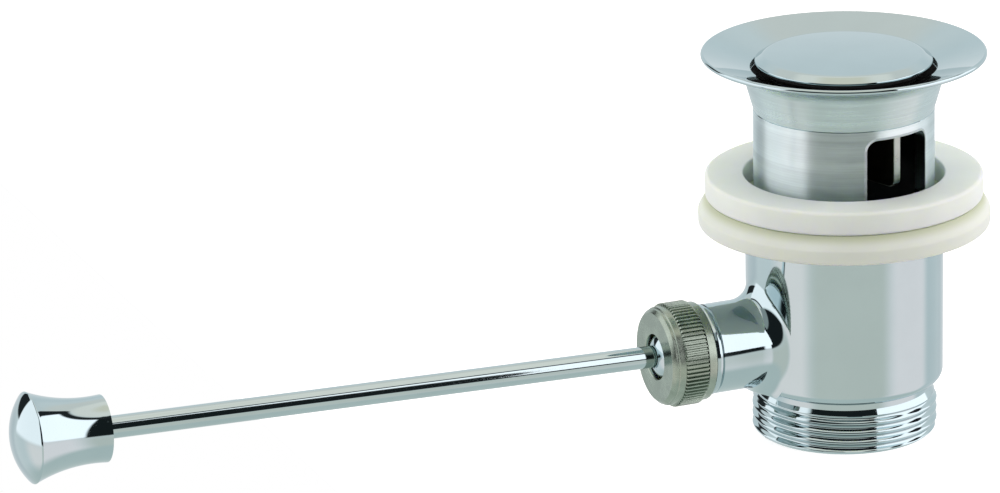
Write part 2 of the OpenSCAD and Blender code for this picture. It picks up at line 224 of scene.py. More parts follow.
class Bench:
    """Modelling steps that several pieces share."""

    @staticmethod
    def put_down() -> None:
        """Goes back to object mode with nothing selected."""
        if bpy.context.object is not None and bpy.context.object.mode != "OBJECT":
            bpy.ops.object.mode_set(mode="OBJECT")
        bpy.ops.object.select_all(action="DESELECT")

    @staticmethod
    def take(piece: bpy.types.Object) -> None:
        """Makes one piece the only selected and the active one."""
        Bench.put_down()
        piece.select_set(True)
        bpy.context.view_layer.objects.active = piece

    @staticmethod
    def close(piece: bpy.types.Object) -> None:
        """Welds a mesh's doubles, turns its faces outwards and settles its place in the mesh."""
        Bench.take(piece)
        bpy.ops.object.mode_set(mode="EDIT")
        bpy.ops.mesh.select_all(action="SELECT")
        bpy.ops.mesh.remove_doubles(threshold=WELD)
        bpy.ops.mesh.dissolve_degenerate(threshold=WELD)
        bpy.ops.mesh.select_all(action="SELECT")
        bpy.ops.mesh.normals_make_consistent(inside=False)
        bpy.ops.object.mode_set(mode="OBJECT")
        bpy.ops.object.transform_apply(location=True, rotation=True, scale=True)

    @staticmethod
    def smooth(piece: bpy.types.Object, angle: float = SMOOTH_ANGLE) -> None:
        """Shades a piece smooth, with normals that follow its larger faces.

        Args:
            piece: The piece to shade.
            angle: Edges sharper than this stay sharp.
        """
        Bench.take(piece)
        bpy.ops.object.shade_smooth_by_angle(angle=angle)
        weigh = piece.modifiers.new("face_weight", "WEIGHTED_NORMAL")
        weigh.keep_sharp = True
        bpy.ops.object.modifier_apply(modifier=weigh.name)

    @staticmethod
    def cut(piece: bpy.types.Object, cutter: bpy.types.Object) -> None:
        """Takes a cutter's room out of a piece and throws the cutter away.

        Args:
            piece: The piece that is cut.
            cutter: The closed mesh that is taken out of it.
        """
        Bench.take(piece)
        mill = piece.modifiers.new("mill", "BOOLEAN")
        mill.operation = "DIFFERENCE"
        mill.solver = "EXACT"
        mill.object = cutter
        bpy.ops.object.modifier_apply(modifier=mill.name)
        bpy.data.objects.remove(cutter)

    @staticmethod
    def join(piece: bpy.types.Object, *others: bpy.types.Object) -> bpy.types.Object:
        """Puts the meshes of other objects into a piece and returns it."""
        Bench.take(piece)
        for other in others:
            other.select_set(True)
        bpy.ops.object.join()
        return piece

    @staticmethod
    def drill(radius: float, start: Vector, end: Vector) -> bpy.types.Object:
        """A round cutter between two points.

        Args:
            radius: The drill's radius.
            start: One end of its axis.
            end: The other end.

        Returns:
            The cutter.
        """
        Bench.put_down()
        bpy.ops.mesh.primitive_cylinder_add(
            vertices=COARSE_STEPS,
            radius=radius,
            depth=(end - start).length,
            location=(start + end) / 2,
            rotation=(end - start).to_track_quat("Z", "Y").to_euler(),
        )
        cutter = bpy.context.object
        Bench.close(cutter)
        return cutter

    @staticmethod
    def block(
        size: Sequence[float],
        middle: Sequence[float],
        rounding: float,
        chosen: Callable[[Vector, Vector], bool],
    ) -> bpy.types.Object:
        """A block with some of its edges rounded.

        Args:
            size: Its sides along X, Y and Z.
            middle: The place of its middle.
            rounding: The radius of the rounded edges.
            chosen: Tells from the two ends of an edge whether it is rounded.

        Returns:
            The block.
        """
        Bench.put_down()
        bpy.ops.mesh.primitive_cube_add(size=1.0)
        block = bpy.context.object
        bpy.ops.object.mode_set(mode="EDIT")
        bpy.ops.mesh.select_all(action="SELECT")
        bpy.ops.transform.resize(value=size)
        bpy.ops.transform.translate(value=middle)
        bpy.ops.mesh.select_mode(type="EDGE")
        bpy.ops.mesh.select_all(action="DESELECT")
        bpy.ops.object.mode_set(mode="OBJECT")
        for edge in block.data.edges:
            edge.select = chosen(*(block.data.vertices[v].co for v in edge.vertices))
        bpy.ops.object.mode_set(mode="EDIT")
        bpy.ops.mesh.bevel(offset=rounding, segments=BEVEL_STEPS, affect="EDGES")
        bpy.ops.object.mode_set(mode="OBJECT")
        return block

    @staticmethod
    def skin(name: str, rings: Sequence[Sequence[Vector]], shift: int = 0) -> bpy.types.Object:
        """Stretches a skin over rings of points, each ring joined to the next.

        Args:
            name: The piece's name.
            rings: Columns of points, all of one length. The last column is joined to the first.
            shift: How many points the first column is moved on where the last one meets it, which
                makes a helix. With no shift each column is a closed loop.

        Returns:
            The piece.
        """
        count = len(rings[0])
        points = [tuple(point) for ring in rings for point in ring]
        faces = []
        for i in range(len(rings)):
            step = shift if i == len(rings) - 1 else 0
            here = i * count
            there = (i + 1) % len(rings) * count
            for j in range(count if shift == 0 else count - 1 - step):
                far = there + (j + step + 1) % count
                faces.append((here + j, here + (j + 1) % count, far, there + j + step))
        mesh = bpy.data.meshes.new(name)
        mesh.from_pydata(points, [], faces)
        piece = bpy.data.objects.new(name, mesh)
        bpy.context.scene.collection.objects.link(piece)
        return piece


@dataclass(frozen=True)
class Spindle:
    """An axis that pieces are turned about."""

    centre: Vector
    along: Vector
    side: Vector = Vector((0.0, 1.0, 0.0))

    def point(self, out: float, along: float) -> Vector:
        """The place of an outline's point, on the side where the outline is drawn."""
        return self.centre + self.side * out + self.along * along

    def turn(self, name: str, outline: Outline, steps: int = FINE_STEPS) -> bpy.types.Object:
        """Draws an outline point by point and spins it into a closed piece.

        Args:
            name: The piece's name.
            outline: The outline, closed by its axis or by its own first point.
            steps: Facets in a full turn.

        Returns:
            The piece.
        """
        first = self.point(*outline.points[0])
        Bench.put_down()
        bpy.ops.mesh.primitive_plane_add(size=MM, location=first)
        piece = bpy.context.object
        piece.name = name
        bpy.ops.object.mode_set(mode="EDIT")
        bpy.ops.mesh.select_mode(type="VERT")
        bpy.ops.mesh.select_all(action="SELECT")
        bpy.ops.mesh.merge(type="CENTER")
        stops = list(outline.points[1:])
        if outline.points[0][0] > WELD:
            stops.append(outline.points[0])
        last = first
        for stop in stops:
            here = self.point(*stop)
            bpy.ops.mesh.extrude_vertices_move(TRANSFORM_OT_translate={"value": here - last})
            last = here
        bpy.ops.mesh.select_all(action="SELECT")
        bpy.ops.mesh.remove_doubles(threshold=WELD)
        bpy.ops.mesh.select_all(action="SELECT")
        bpy.ops.mesh.spin(steps=steps, angle=math.tau, center=self.centre, axis=self.along)
        Bench.close(piece)
        return piece

    def turn_smooth(self, name: str, outline: Outline, steps: int = FINE_STEPS) -> bpy.types.Object:
        """Turns a piece that needs no other work and shades it smooth."""
        piece = self.turn(name, outline, steps)
        Bench.smooth(piece)
        return piece


class Value:
    """A node socket in a Python expression, where each operator adds a Math node."""

    def __init__(self, graph: "Graph", socket: bpy.types.NodeSocket) -> None:
        """Wraps a socket of a graph."""
        self.graph = graph
        self.socket = socket

    def math(self, operation: str, *operands: "Value | float") -> "Value":
        """Adds a Math node that works on this value and the operands."""
        sockets = dict(enumerate((self, *operands)))
        made = self.graph.node("ShaderNodeMath", {"operation": operation}, sockets)
        return Value(self.graph, made.outputs[0])

    def __add__(self, other: "Value | float") -> "Value":
        """This value plus another."""
        return self.math("ADD", other)

    __radd__ = __add__

    def __mul__(self, other: "Value | float") -> "Value":
        """This value times another."""
        return self.math("MULTIPLY", other)

    __rmul__ = __mul__

    def __sub__(self, other: "Value | float") -> "Value":
        """This value less another."""
        return self.math("SUBTRACT", other)

    def __rsub__(self, other: float) -> "Value":
        """A number less this value."""
        return self.math("MULTIPLY", -1.0) + other

    def __truediv__(self, other: "Value | float") -> "Value":
        """This value over another."""
        return self.math("DIVIDE", other)

    def ramp(self, low: float, high: float, start: float = 0.0, end: float = 1.0) -> "Value":
        """Eases from start, below low, to end, above high.

        Args:
            low: The value at which the ease begins.
            high: The value at which it ends.
            start: What the result is up to there.
            end: What it is from there on.

        Returns:
            The eased value.
        """
        settings = {"interpolation_type": "SMOOTHSTEP"}
        sockets = {"Value": self, "From Min": low, "From Max": high, "To Min": start, "To Max": end}
        made = self.graph.node("ShaderNodeMapRange", settings, sockets)
        return Value(self.graph, made.outputs["Result"])


Feed = Value | bpy.types.NodeSocket | float | Sequence[float]


class Graph:
    """The node tree of one material, or of the world."""

    def __init__(self, tree: bpy.types.NodeTree) -> None:
        """Empties a node tree and takes it over."""
        tree.nodes.clear()
        self.tree = tree

    def node(
        self, kind: str, settings: dict[str, object], sockets: dict[str | int, Feed]
    ) -> bpy.types.Node:
        """Adds a node.

        Args:
            kind: The node's type.
            settings: Its own settings, which are set first.
            sockets: Its inputs by name or number, each a number, a vector or a link.

        Returns:
            The node.
        """
        made = self.tree.nodes.new(kind)
        for name, setting in settings.items():
            setattr(made, name, setting)
        for name, feed in sockets.items():
            if isinstance(feed, Value):
                feed = feed.socket
            if isinstance(feed, bpy.types.NodeSocket):
                self.tree.links.new(feed, made.inputs[name])
            else:
                made.inputs[name].default_value = feed
        return made

    def place(self) -> bpy.types.NodeSocket:
        """The piece's own coordinates, in metres."""
        return self.node("ShaderNodeTexCoord", {}, {}).outputs["Object"]

    def axes(self, vector: bpy.types.NodeSocket) -> tuple[Value, Value, Value]:
        """The three parts of a vector."""
        parts = self.node("ShaderNodeSeparateXYZ", {}, {"Vector": vector})
        return tuple(Value(self, part) for part in parts.outputs)

    def stretched(self, scale: Sequence[float]) -> bpy.types.NodeSocket:
        """The piece's own coordinates, stretched along its axes."""
        return self.node("ShaderNodeMapping", {}, {"Vector": self.place(), "Scale": scale}).outputs[0]

    def noise(
        self, where: bpy.types.NodeSocket, scale: float, detail: float = 2.0, rough: float = 0.5
    ) -> Value:
        """Soft noise from 0 to 1.

        Args:
            where: The coordinates.
            scale: Marks to the metre.
            detail: How many finer layers are added.
            rough: How strong the finer layers are.

        Returns:
            The noise.
        """
        sockets = {"Vector": where, "Scale": scale, "Detail": detail, "Roughness": rough}
        return Value(self, self.node("ShaderNodeTexNoise", {}, sockets).outputs["Fac"])

    def mix(self, share: Feed, first: Feed, second: Feed) -> bpy.types.NodeSocket:
        """A colour between two others.

        Args:
            share: How much of the second there is.
            first: The colour at 0.
            second: The colour at 1.

        Returns:
            The mixed colour.
        """
        made = self.node("ShaderNodeMix", {"data_type": "RGBA"}, {0: share})
        for slot, color in ((6, first), (7, second)):
            if isinstance(color, bpy.types.NodeSocket):
                self.tree.links.new(color, made.inputs[slot])
            else:
                made.inputs[slot].default_value = (*color, 1.0)
        return made.outputs[2]

    def bump(self, height: Value, strength: float, depth: float) -> bpy.types.NodeSocket:
        """Small relief.

        Args:
            height: The relief, from 0 to 1.
            strength: How much of it shows.
            depth: The height that 1 stands for, in metres.

        Returns:
            The bumped normal.
        """
        sockets = {"Height": height, "Strength": strength, "Distance": depth}
        return self.node("ShaderNodeBump", {}, sockets).outputs["Normal"]


def linear(red: float, green: float, blue: float) -> Color:
    """Linear colour from the 0 to 255 numbers that a screen shows."""
    parts = (channel / 255.0 for channel in (red, green, blue))
    return tuple(p / 12.92 if p <= 0.04045 else ((p + 0.055) / 1.055) ** 2.4 for p in parts)


def fresh_material(name: str) -> tuple[bpy.types.Material, Graph]:
    """A new material and its empty graph."""
    made = bpy.data.materials.new(name)
    made.use_nodes = True
    return made, Graph(made.node_tree)


@dataclass(frozen=True)
class Finish:
    """What every finish has: a name, a colour and a roughness."""

    name: str
    color: Color
    roughness: float

    def material(self) -> bpy.types.Material:
        """The finish as a material, made once."""
        made = bpy.data.materials.get(self.name)
        if made is None:
            made, graph = fresh_material(self.name)
            shader = graph.node("ShaderNodeBsdfPrincipled", {}, self.sockets(graph))
            graph.node("ShaderNodeOutputMaterial", {}, {"Surface": shader.outputs["BSDF"]})
        return made

    def sockets(self, graph: Graph) -> dict[str | int, Feed]:
        """The shader's inputs; each finish gives its own."""
        raise NotImplementedError

    def shade(self, share: float) -> Color:
        """The finish's colour times a share."""
        return tuple(channel * share for channel in self.color)


@dataclass(frozen=True)
class PolishedPlate(Finish):
    """Polished plating, with wipe marks, faint mottling and a slightly wavy cast skin under it."""

    wave: float = 0.02
    mottle_scale: float = 90.0
    wipe_scale: float = 900.0
    wipe_rise: float = 0.035
    wave_scale: float = 140.0
    wave_depth: float = 0.4 * MM

    def sockets(self, graph: Graph) -> dict[str | int, Feed]:
        """Colour from the mottling, roughness from the wipe marks, relief from the waves."""
        place = graph.place()
        mottle = graph.noise(place, self.mottle_scale, 3.0)
        wipe = graph.noise(graph.stretched((1.0, 1.0, 0.25)), self.wipe_scale, 4.0, 0.65)
        dulled = self.roughness + self.wipe_rise
        return {
            "Base Color": graph.mix(mottle.ramp(0.3, 0.7), self.shade(0.97), self.color),
            "Metallic": 1.0,
            "Roughness": wipe.ramp(0.45, 0.8, self.roughness, dulled),
            "Normal": self.relief(graph, place),
        }

    def relief(self, graph: Graph, place: bpy.types.NodeSocket) -> bpy.types.NodeSocket:
        """The slight waves of the skin."""
        return graph.bump(graph.noise(place, self.wave_scale, 1.0), self.wave, self.wave_depth)


@dataclass(frozen=True)
class CastPlate(PolishedPlate):
    """Polished plating on a casting, whose hand-polished arm is wavier than its turned tube."""

    turned_out_to: float = 22.6 * MM
    arm_from: float = 27.0 * MM
    tube_share: float = 0.04
    swell_scale: float = 85.0
    swell_depth: float = 0.45 * MM

    def relief(self, graph: Graph, place: bpy.types.NodeSocket) -> bpy.types.NodeSocket:
        """Swells that grow away from the tube."""
        x, y, _ = graph.axes(place)
        out = (x * x + y * y).math("SQRT")
        share = out.ramp(self.turned_out_to, self.arm_from, self.tube_share, 1.0)
        swell = graph.noise(place, self.swell_scale, 0.0) * share
        return graph.bump(swell, 1.0, self.swell_depth)


@dataclass(frozen=True)
class TurnedPlate(Finish):
    """Satin plating over the fine rings that a lathe tool leaves, which spread light up and down."""

    ring_scale: float = 2600.0
    ring_stretch: Color = (0.012, 0.012, 1.0)
    band_scale: float = 420.0
    band_stretch: Color = (0.03, 0.03, 1.0)
    tarnish_scale: float = 110.0
    spread: float = 1.0

    def sockets(self, graph: Graph) -> dict[str | int, Feed]:
        """Rings from noise that is long about the axis and short along it."""
        rings = graph.noise(graph.stretched(self.ring_stretch), self.ring_scale, 4.0, 0.7)
        bands = graph.noise(graph.stretched(self.band_stretch), self.band_scale, 2.0, 0.6)
        tarnish = graph.noise(graph.place(), self.tarnish_scale, 4.0, 0.6)
        tone = rings * 0.45 + bands * 0.35 + tarnish * 0.2
        return {
            "Base Color": graph.mix(tone.ramp(0.35, 0.65), self.shade(0.86), self.color),
            "Metallic": 1.0,
            "Roughness": tone.ramp(0.3, 0.7, self.roughness + 0.05, self.roughness - 0.05),
            "Anisotropic": self.spread,
            "Anisotropic Rotation": 0.25,
            "Normal": graph.bump(rings, 0.12, 0.05 * MM),
        }


@dataclass(frozen=True)
class MilledPlate(TurnedPlate):
    """Turned plating with the broken edge that a mill leaves round a pair of opposite windows."""

    facing: float = 0.0
    half_width: float = 8.0 * MM
    half_height: float = 8.0 * MM
    middle: float = 0.0
    corner: float = 2.0 * MM
    edge: float = 0.5 * MM

    def sockets(self, graph: Graph) -> dict[str | int, Feed]:
        """The turned plate's sockets, with a normal that leans into the windows along their edges."""
        sockets = super().sockets(graph)
        x, y, z = graph.axes(graph.place())
        across = (y * math.cos(self.facing) - x * math.sin(self.facing)).math("ABSOLUTE")
        up = (z - self.middle).math("ABSOLUTE")
        past_side = across - (self.half_width - self.corner)
        past_end = up - (self.half_height - self.corner)
        out_side = past_side.math("MAXIMUM", 0.0)
        out_end = past_end.math("MAXIMUM", 0.0)
        far = (out_side * out_side + out_end * out_end).math("SQRT")
        near = past_side.math("MAXIMUM", past_end).math("MINIMUM", 0.0)
        height = ((far + near - self.corner) / self.edge).math("MINIMUM", 1.0)
        feeds = {"Height": height, "Strength": 1.0, "Distance": self.edge}
        feeds["Normal"] = sockets["Normal"]
        sockets["Normal"] = graph.node("ShaderNodeBump", {}, feeds).outputs["Normal"]
        return sockets


@dataclass(frozen=True)
class MattPlate(Finish):
    """Matt plating with a fine grain and handling stains."""

    grain_scale: float = 3200.0
    stain_scale: float = 240.0

    def sockets(self, graph: Graph) -> dict[str | int, Feed]:
        """Grain in the roughness and relief, stains in the colour."""
        place = graph.place()
        grain = graph.noise(place, self.grain_scale, 3.0, 0.6)
        stain = graph.noise(place, self.stain_scale, 4.0, 0.6)
        return {
            "Base Color": graph.mix(stain.ramp(0.35, 0.7), self.shade(0.8), self.color),
            "Metallic": 1.0,
            "Roughness": (stain * 0.5 + grain * 0.5).ramp(
                0.3, 0.7, self.roughness - 0.06, self.roughness + 0.08
            ),
            "Normal": graph.bump(grain, 0.1, 0.04 * MM),
        }


@dataclass(frozen=True)
class ShadedBore(Finish):
    """The inside of the tail, painted near black as the deep shade within it, with uneven blotches."""

    blotch_scale: float = 600.0

    def sockets(self, graph: Graph) -> dict[str | int, Feed]:
        """Painted shade, near black and uneven."""
        blotch = graph.noise(graph.place(), self.blotch_scale, 4.0, 0.6)
        return {
            "Base Color": graph.mix(blotch.ramp(0.35, 0.75), self.color, self.shade(1.8)),
            "Roughness": blotch.ramp(0.2, 0.8, self.roughness, self.roughness + 0.15),
            "Specular IOR Level": 0.2,
            "Normal": graph.bump(blotch, 0.15, 0.1 * MM),
        }


@dataclass(frozen=True)
class SoftPlastic(Finish):
    """Waxy moulded plastic that light sinks into a little, with a clouded skin."""

    depth_color: Color = (0.9, 1.0, 0.45)
    depth: float = 3.2 * MM
    sink: float = 0.55
    cloud_scale: float = 70.0
    grain_scale: float = 1800.0

    def sockets(self, graph: Graph) -> dict[str | int, Feed]:
        """Clouds in the colour, a fine moulded grain in the relief."""
        place = graph.place()
        cloud = graph.noise(place, self.cloud_scale, 3.0)
        grain = graph.noise(place, self.grain_scale, 3.0)
        return {
            "Base Color": graph.mix(cloud.ramp(0.3, 0.75), self.shade(0.95), self.color),
            "Roughness": (cloud * 0.4 + grain * 0.6).ramp(
                0.3, 0.7, self.roughness - 0.06, self.roughness + 0.06
            ),
            "Subsurface Weight": self.sink,
            "Subsurface Radius": self.depth_color,
            "Subsurface Scale": self.depth,
            "Normal": graph.bump(grain, 0.12, 0.04 * MM),
        }


@dataclass(frozen=True)
class CreaseShadedPlastic(SoftPlastic):
    """Soft plastic with a greenish yellow shade painted above a level, in the crease under the piece
    that covers it.
    """

    # Painted shade: a darker greenish yellow for the crease under the upper washer.
    crease_shade_color: Color = (0.54, 0.61, 0.42)
    unshaded_to: float = 0.0
    shaded_from: float = 1.0

    def sockets(self, graph: Graph) -> dict[str | int, Feed]:
        """The soft plastic's sockets, with painted shade that grows towards the covered side."""
        sockets = super().sockets(graph)
        _, _, level = graph.axes(graph.place())
        crease_shading = level.ramp(self.unshaded_to, self.shaded_from)
        sockets["Base Color"] = graph.mix(crease_shading, sockets["Base Color"], self.crease_shade_color)
        return sockets


@dataclass(frozen=True)
class Rubber(Finish):
    """Smooth black rubber with a faint bloom."""

    bloom_scale: float = 350.0

    def sockets(self, graph: Graph) -> dict[str | int, Feed]:
        """Bloom in the colour, a fine skin in the relief."""
        bloom = graph.noise(graph.place(), self.bloom_scale, 4.0)
        return {
            "Base Color": graph.mix(bloom.ramp(0.4, 0.8), self.color, self.shade(1.9)),
            "Roughness": bloom.ramp(0.2, 0.8, self.roughness, self.roughness + 0.12),
            "Normal": graph.bump(bloom, 0.1, 0.05 * MM),
        }


CHROME = PolishedPlate("polished_chrome", linear(176, 195, 199), 0.035)
CAST_CHROME = CastPlate("cast_chrome", linear(176, 195, 199), 0.05)
ROD_CHROME = PolishedPlate("rod_chrome", linear(177, 195, 198), 0.045, wave=0.015)
CONE_NICKEL = TurnedPlate("turned_cone_nickel", linear(196, 214, 215), 0.29, spread=0.8)
NUT_NICKEL = MattPlate("matt_nut_nickel", linear(156, 171, 159), 0.24)
DULL_BRASS = MattPlate("tarnished_brass", linear(96, 92, 80), 0.35)
TIP_NICKEL = MattPlate("lighter_vane_tips", linear(168, 180, 175), 0.3)
ZINC_STEEL = MattPlate("zinc_steel", linear(178, 180, 180), 0.32)
# Near-black colour painted in the bore and under the cap as shade.
BORE_SHADE = ShadedBore("painted_shade_bore", (0.006, 0.007, 0.008), 0.6)
WHITE_PLASTIC = SoftPlastic("white_polyethylene", linear(234, 243, 238), 0.5)
SEAT_PLASTIC = SoftPlastic("moulded_seat_plastic", linear(238, 238, 232), 0.4, depth=0.8 * MM)
BLACK_RUBBER = Rubber("soft_black_rubber", (0.012, 0.012, 0.013), 0.5)


@dataclass(frozen=True)
class Wear:
    """How a finished piece takes its place in the model."""

    carrier: Carrier
    node: str
    slot: Slot

    def put_on(self, piece: bpy.types.Object, *finishes: Finish) -> None:
        """Gives a piece its finishes, its body and the node that it stands for.

        Args:
            piece: The finished mesh.
            finishes: The finishes, by the number that its faces carry.
        """
        for finish in finishes:
            piece.data.materials.append(finish.material())
        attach(piece, self.carrier.value)
        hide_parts(self.node)
        LOG.info("%s stands for %s, %d faces", piece.name, self.node, len(piece.data.polygons))


UPRIGHT = Spindle(Vector((0.0, 0.0, 0.0)), Vector((0.0, 0.0, 1.0)))


@dataclass
class Flange:
    """The dished flange and its tail: one turning with a valve seat and two milled windows."""

    rim_thickness: float = 1.2 * MM
    seat_width: float = 1.0 * MM
    underside_slope: float = math.radians(22.0)
    dish_depth: float = 3.5 * MM
    recess_height: float = 1.5 * MM
    recess_radius: float = 20.9 * MM
    tail_radius: float = 20.35 * MM
    bore_radius: float = 17.2 * MM
    cone_depth: float = 11.8 * MM
    cone_slope: float = math.radians(16.0)
    blend_radius: float = 4.0 * MM
    score_depth: float = 0.12 * MM
    recess_round: float = 0.15 * MM
    throat_round: float = 0.4 * MM
    seat_round: float = 0.6 * MM
    lip_round: float = 0.25 * MM
    bore_shade_depth: float = 8.0 * MM
    bore_shade_edge: float = 0.2 * MM
    plated_to: float = -0.02 * MM
    cone_overlap: float = 0.3 * MM
    underside_lean: float = 0.2
    thread_chamfer: float = 0.8 * MM
    window_width: float = 16.5 * MM
    window_height: float = 17.0 * MM
    window_top: float = -14.2 * MM
    window_corner: float = 2.4 * MM

    @property
    def recess_floor(self) -> float:
        """The level of the recess's floor."""
        return self.rim_thickness - self.dish_depth - self.recess_height

    @property
    def window_middle(self) -> float:
        """The level of the windows' middle."""
        return self.window_top - self.window_height / 2

    def build(self) -> bpy.types.Object:
        """Turns the flange and tail, mills the windows and returns the piece."""
        piece = UPRIGHT.turn("flange_and_tail", self.outline())
        for side in Side:
            Bench.cut(piece, self.window_cutter(side))
        Bench.smooth(piece)
        return piece

    def outline(self) -> Outline:
        """The flange's outline, from the recess down the bore and up the outside."""
        room = Extent.of("flange_tail")
        rim = room.radius - self.rim_thickness / 2
        seat_in = Vector((rim - self.seat_width, 0.0))
        cone_end = Vector((self.tail_radius, -self.cone_depth))
        rise = math.tan(self.underside_slope)
        lean = math.tan(self.cone_slope)
        meet_out = (seat_in.x * rise - cone_end.x / lean - self.cone_depth) / (rise - 1 / lean)
        meet_up = (meet_out - seat_in.x) * rise
        recess_floor = self.recess_floor
        throat = recess_floor - (self.recess_radius - self.bore_radius)
        score = self.score_depth
        body = Outline.rounded(
            [
                Corner(self.recess_radius, recess_floor, self.recess_round),
                Corner(self.bore_radius, throat, self.throat_round),
                Corner(self.bore_radius, room.bottom),
                Corner(self.tail_radius - self.thread_chamfer, room.bottom),
                Corner(self.tail_radius, room.bottom + self.thread_chamfer),
                Corner(self.tail_radius, cone_end.y - 2 * score),
                Corner(self.tail_radius - score, cone_end.y - score),
                Corner(cone_end.x, cone_end.y),
                Corner(meet_out, meet_up, self.blend_radius),
                Corner(seat_in.x, seat_in.y, self.seat_round),
                Corner(rim, 0.0),
            ],
            steps=10,
        )
        middle = self.rim_thickness / 2
        body.arc((rim, middle), middle, -math.pi / 2, math.pi / 2, 16)
        lip = Outline.rounded(
            [
                Corner(rim, self.rim_thickness),
                Corner(self.recess_radius, self.rim_thickness - self.dish_depth, self.lip_round),
                Corner(self.recess_radius, recess_floor),
            ]
        )
        body.points.extend(lip.points[1:-1])
        return body

    def window_cutter(self, side: Side) -> bpy.types.Object:
        """A round-cornered block that mills one window.

        Args:
            side: The way the window faces.

        Returns:
            The cutter.
        """
        deep = self.tail_radius
        cutter = Bench.block(
            (deep, self.window_width, self.window_height),
            ((deep + self.bore_radius) / 2, 0.0, self.window_middle),
            self.window_corner,
            lambda one, two: abs(one.x - two.x) > deep / 2,
        )
        cutter.rotation_euler = (0.0, 0.0, math.radians(side.value))
        Bench.close(cutter)
        return cutter

    def dress(self, piece: bpy.types.Object) -> None:
        """Polished top and rim, a smoother cone, a turned satin tail and a bore painted near black as
        its shade.

        Args:
            piece: The built flange.
        """
        bore_edge = self.bore_radius + self.bore_shade_edge
        bore_shade_end = self.recess_floor - self.bore_shade_depth
        cone_end = -self.cone_depth - self.cone_overlap
        for face in piece.data.polygons:
            out = math.hypot(face.center.x, face.center.y)
            level = face.center.z
            # Faces of the bore and the throat take the near-black painted shade.
            if out < bore_edge or (out < self.recess_radius - MM and level > bore_shade_end):
                face.material_index = Coat.BORE.value
            elif level < self.plated_to and face.normal.z < self.underside_lean:
                face.material_index = (Coat.CONE if level > cone_end else Coat.TAIL).value
        tail = MilledPlate(
            "turned_tail_nickel",
            linear(210, 226, 228),
            0.37,
            facing=math.radians(Side.FRONT.value),
            half_width=self.window_width / 2,
            half_height=self.window_height / 2,
            middle=self.window_middle,
            corner=self.window_corner,
        )
        Wear(Carrier.ROOT, "flange_tail", Slot.SATIN_NICKEL).put_on(
            piece, CHROME, tail, BORE_SHADE, CONE_NICKEL
        )


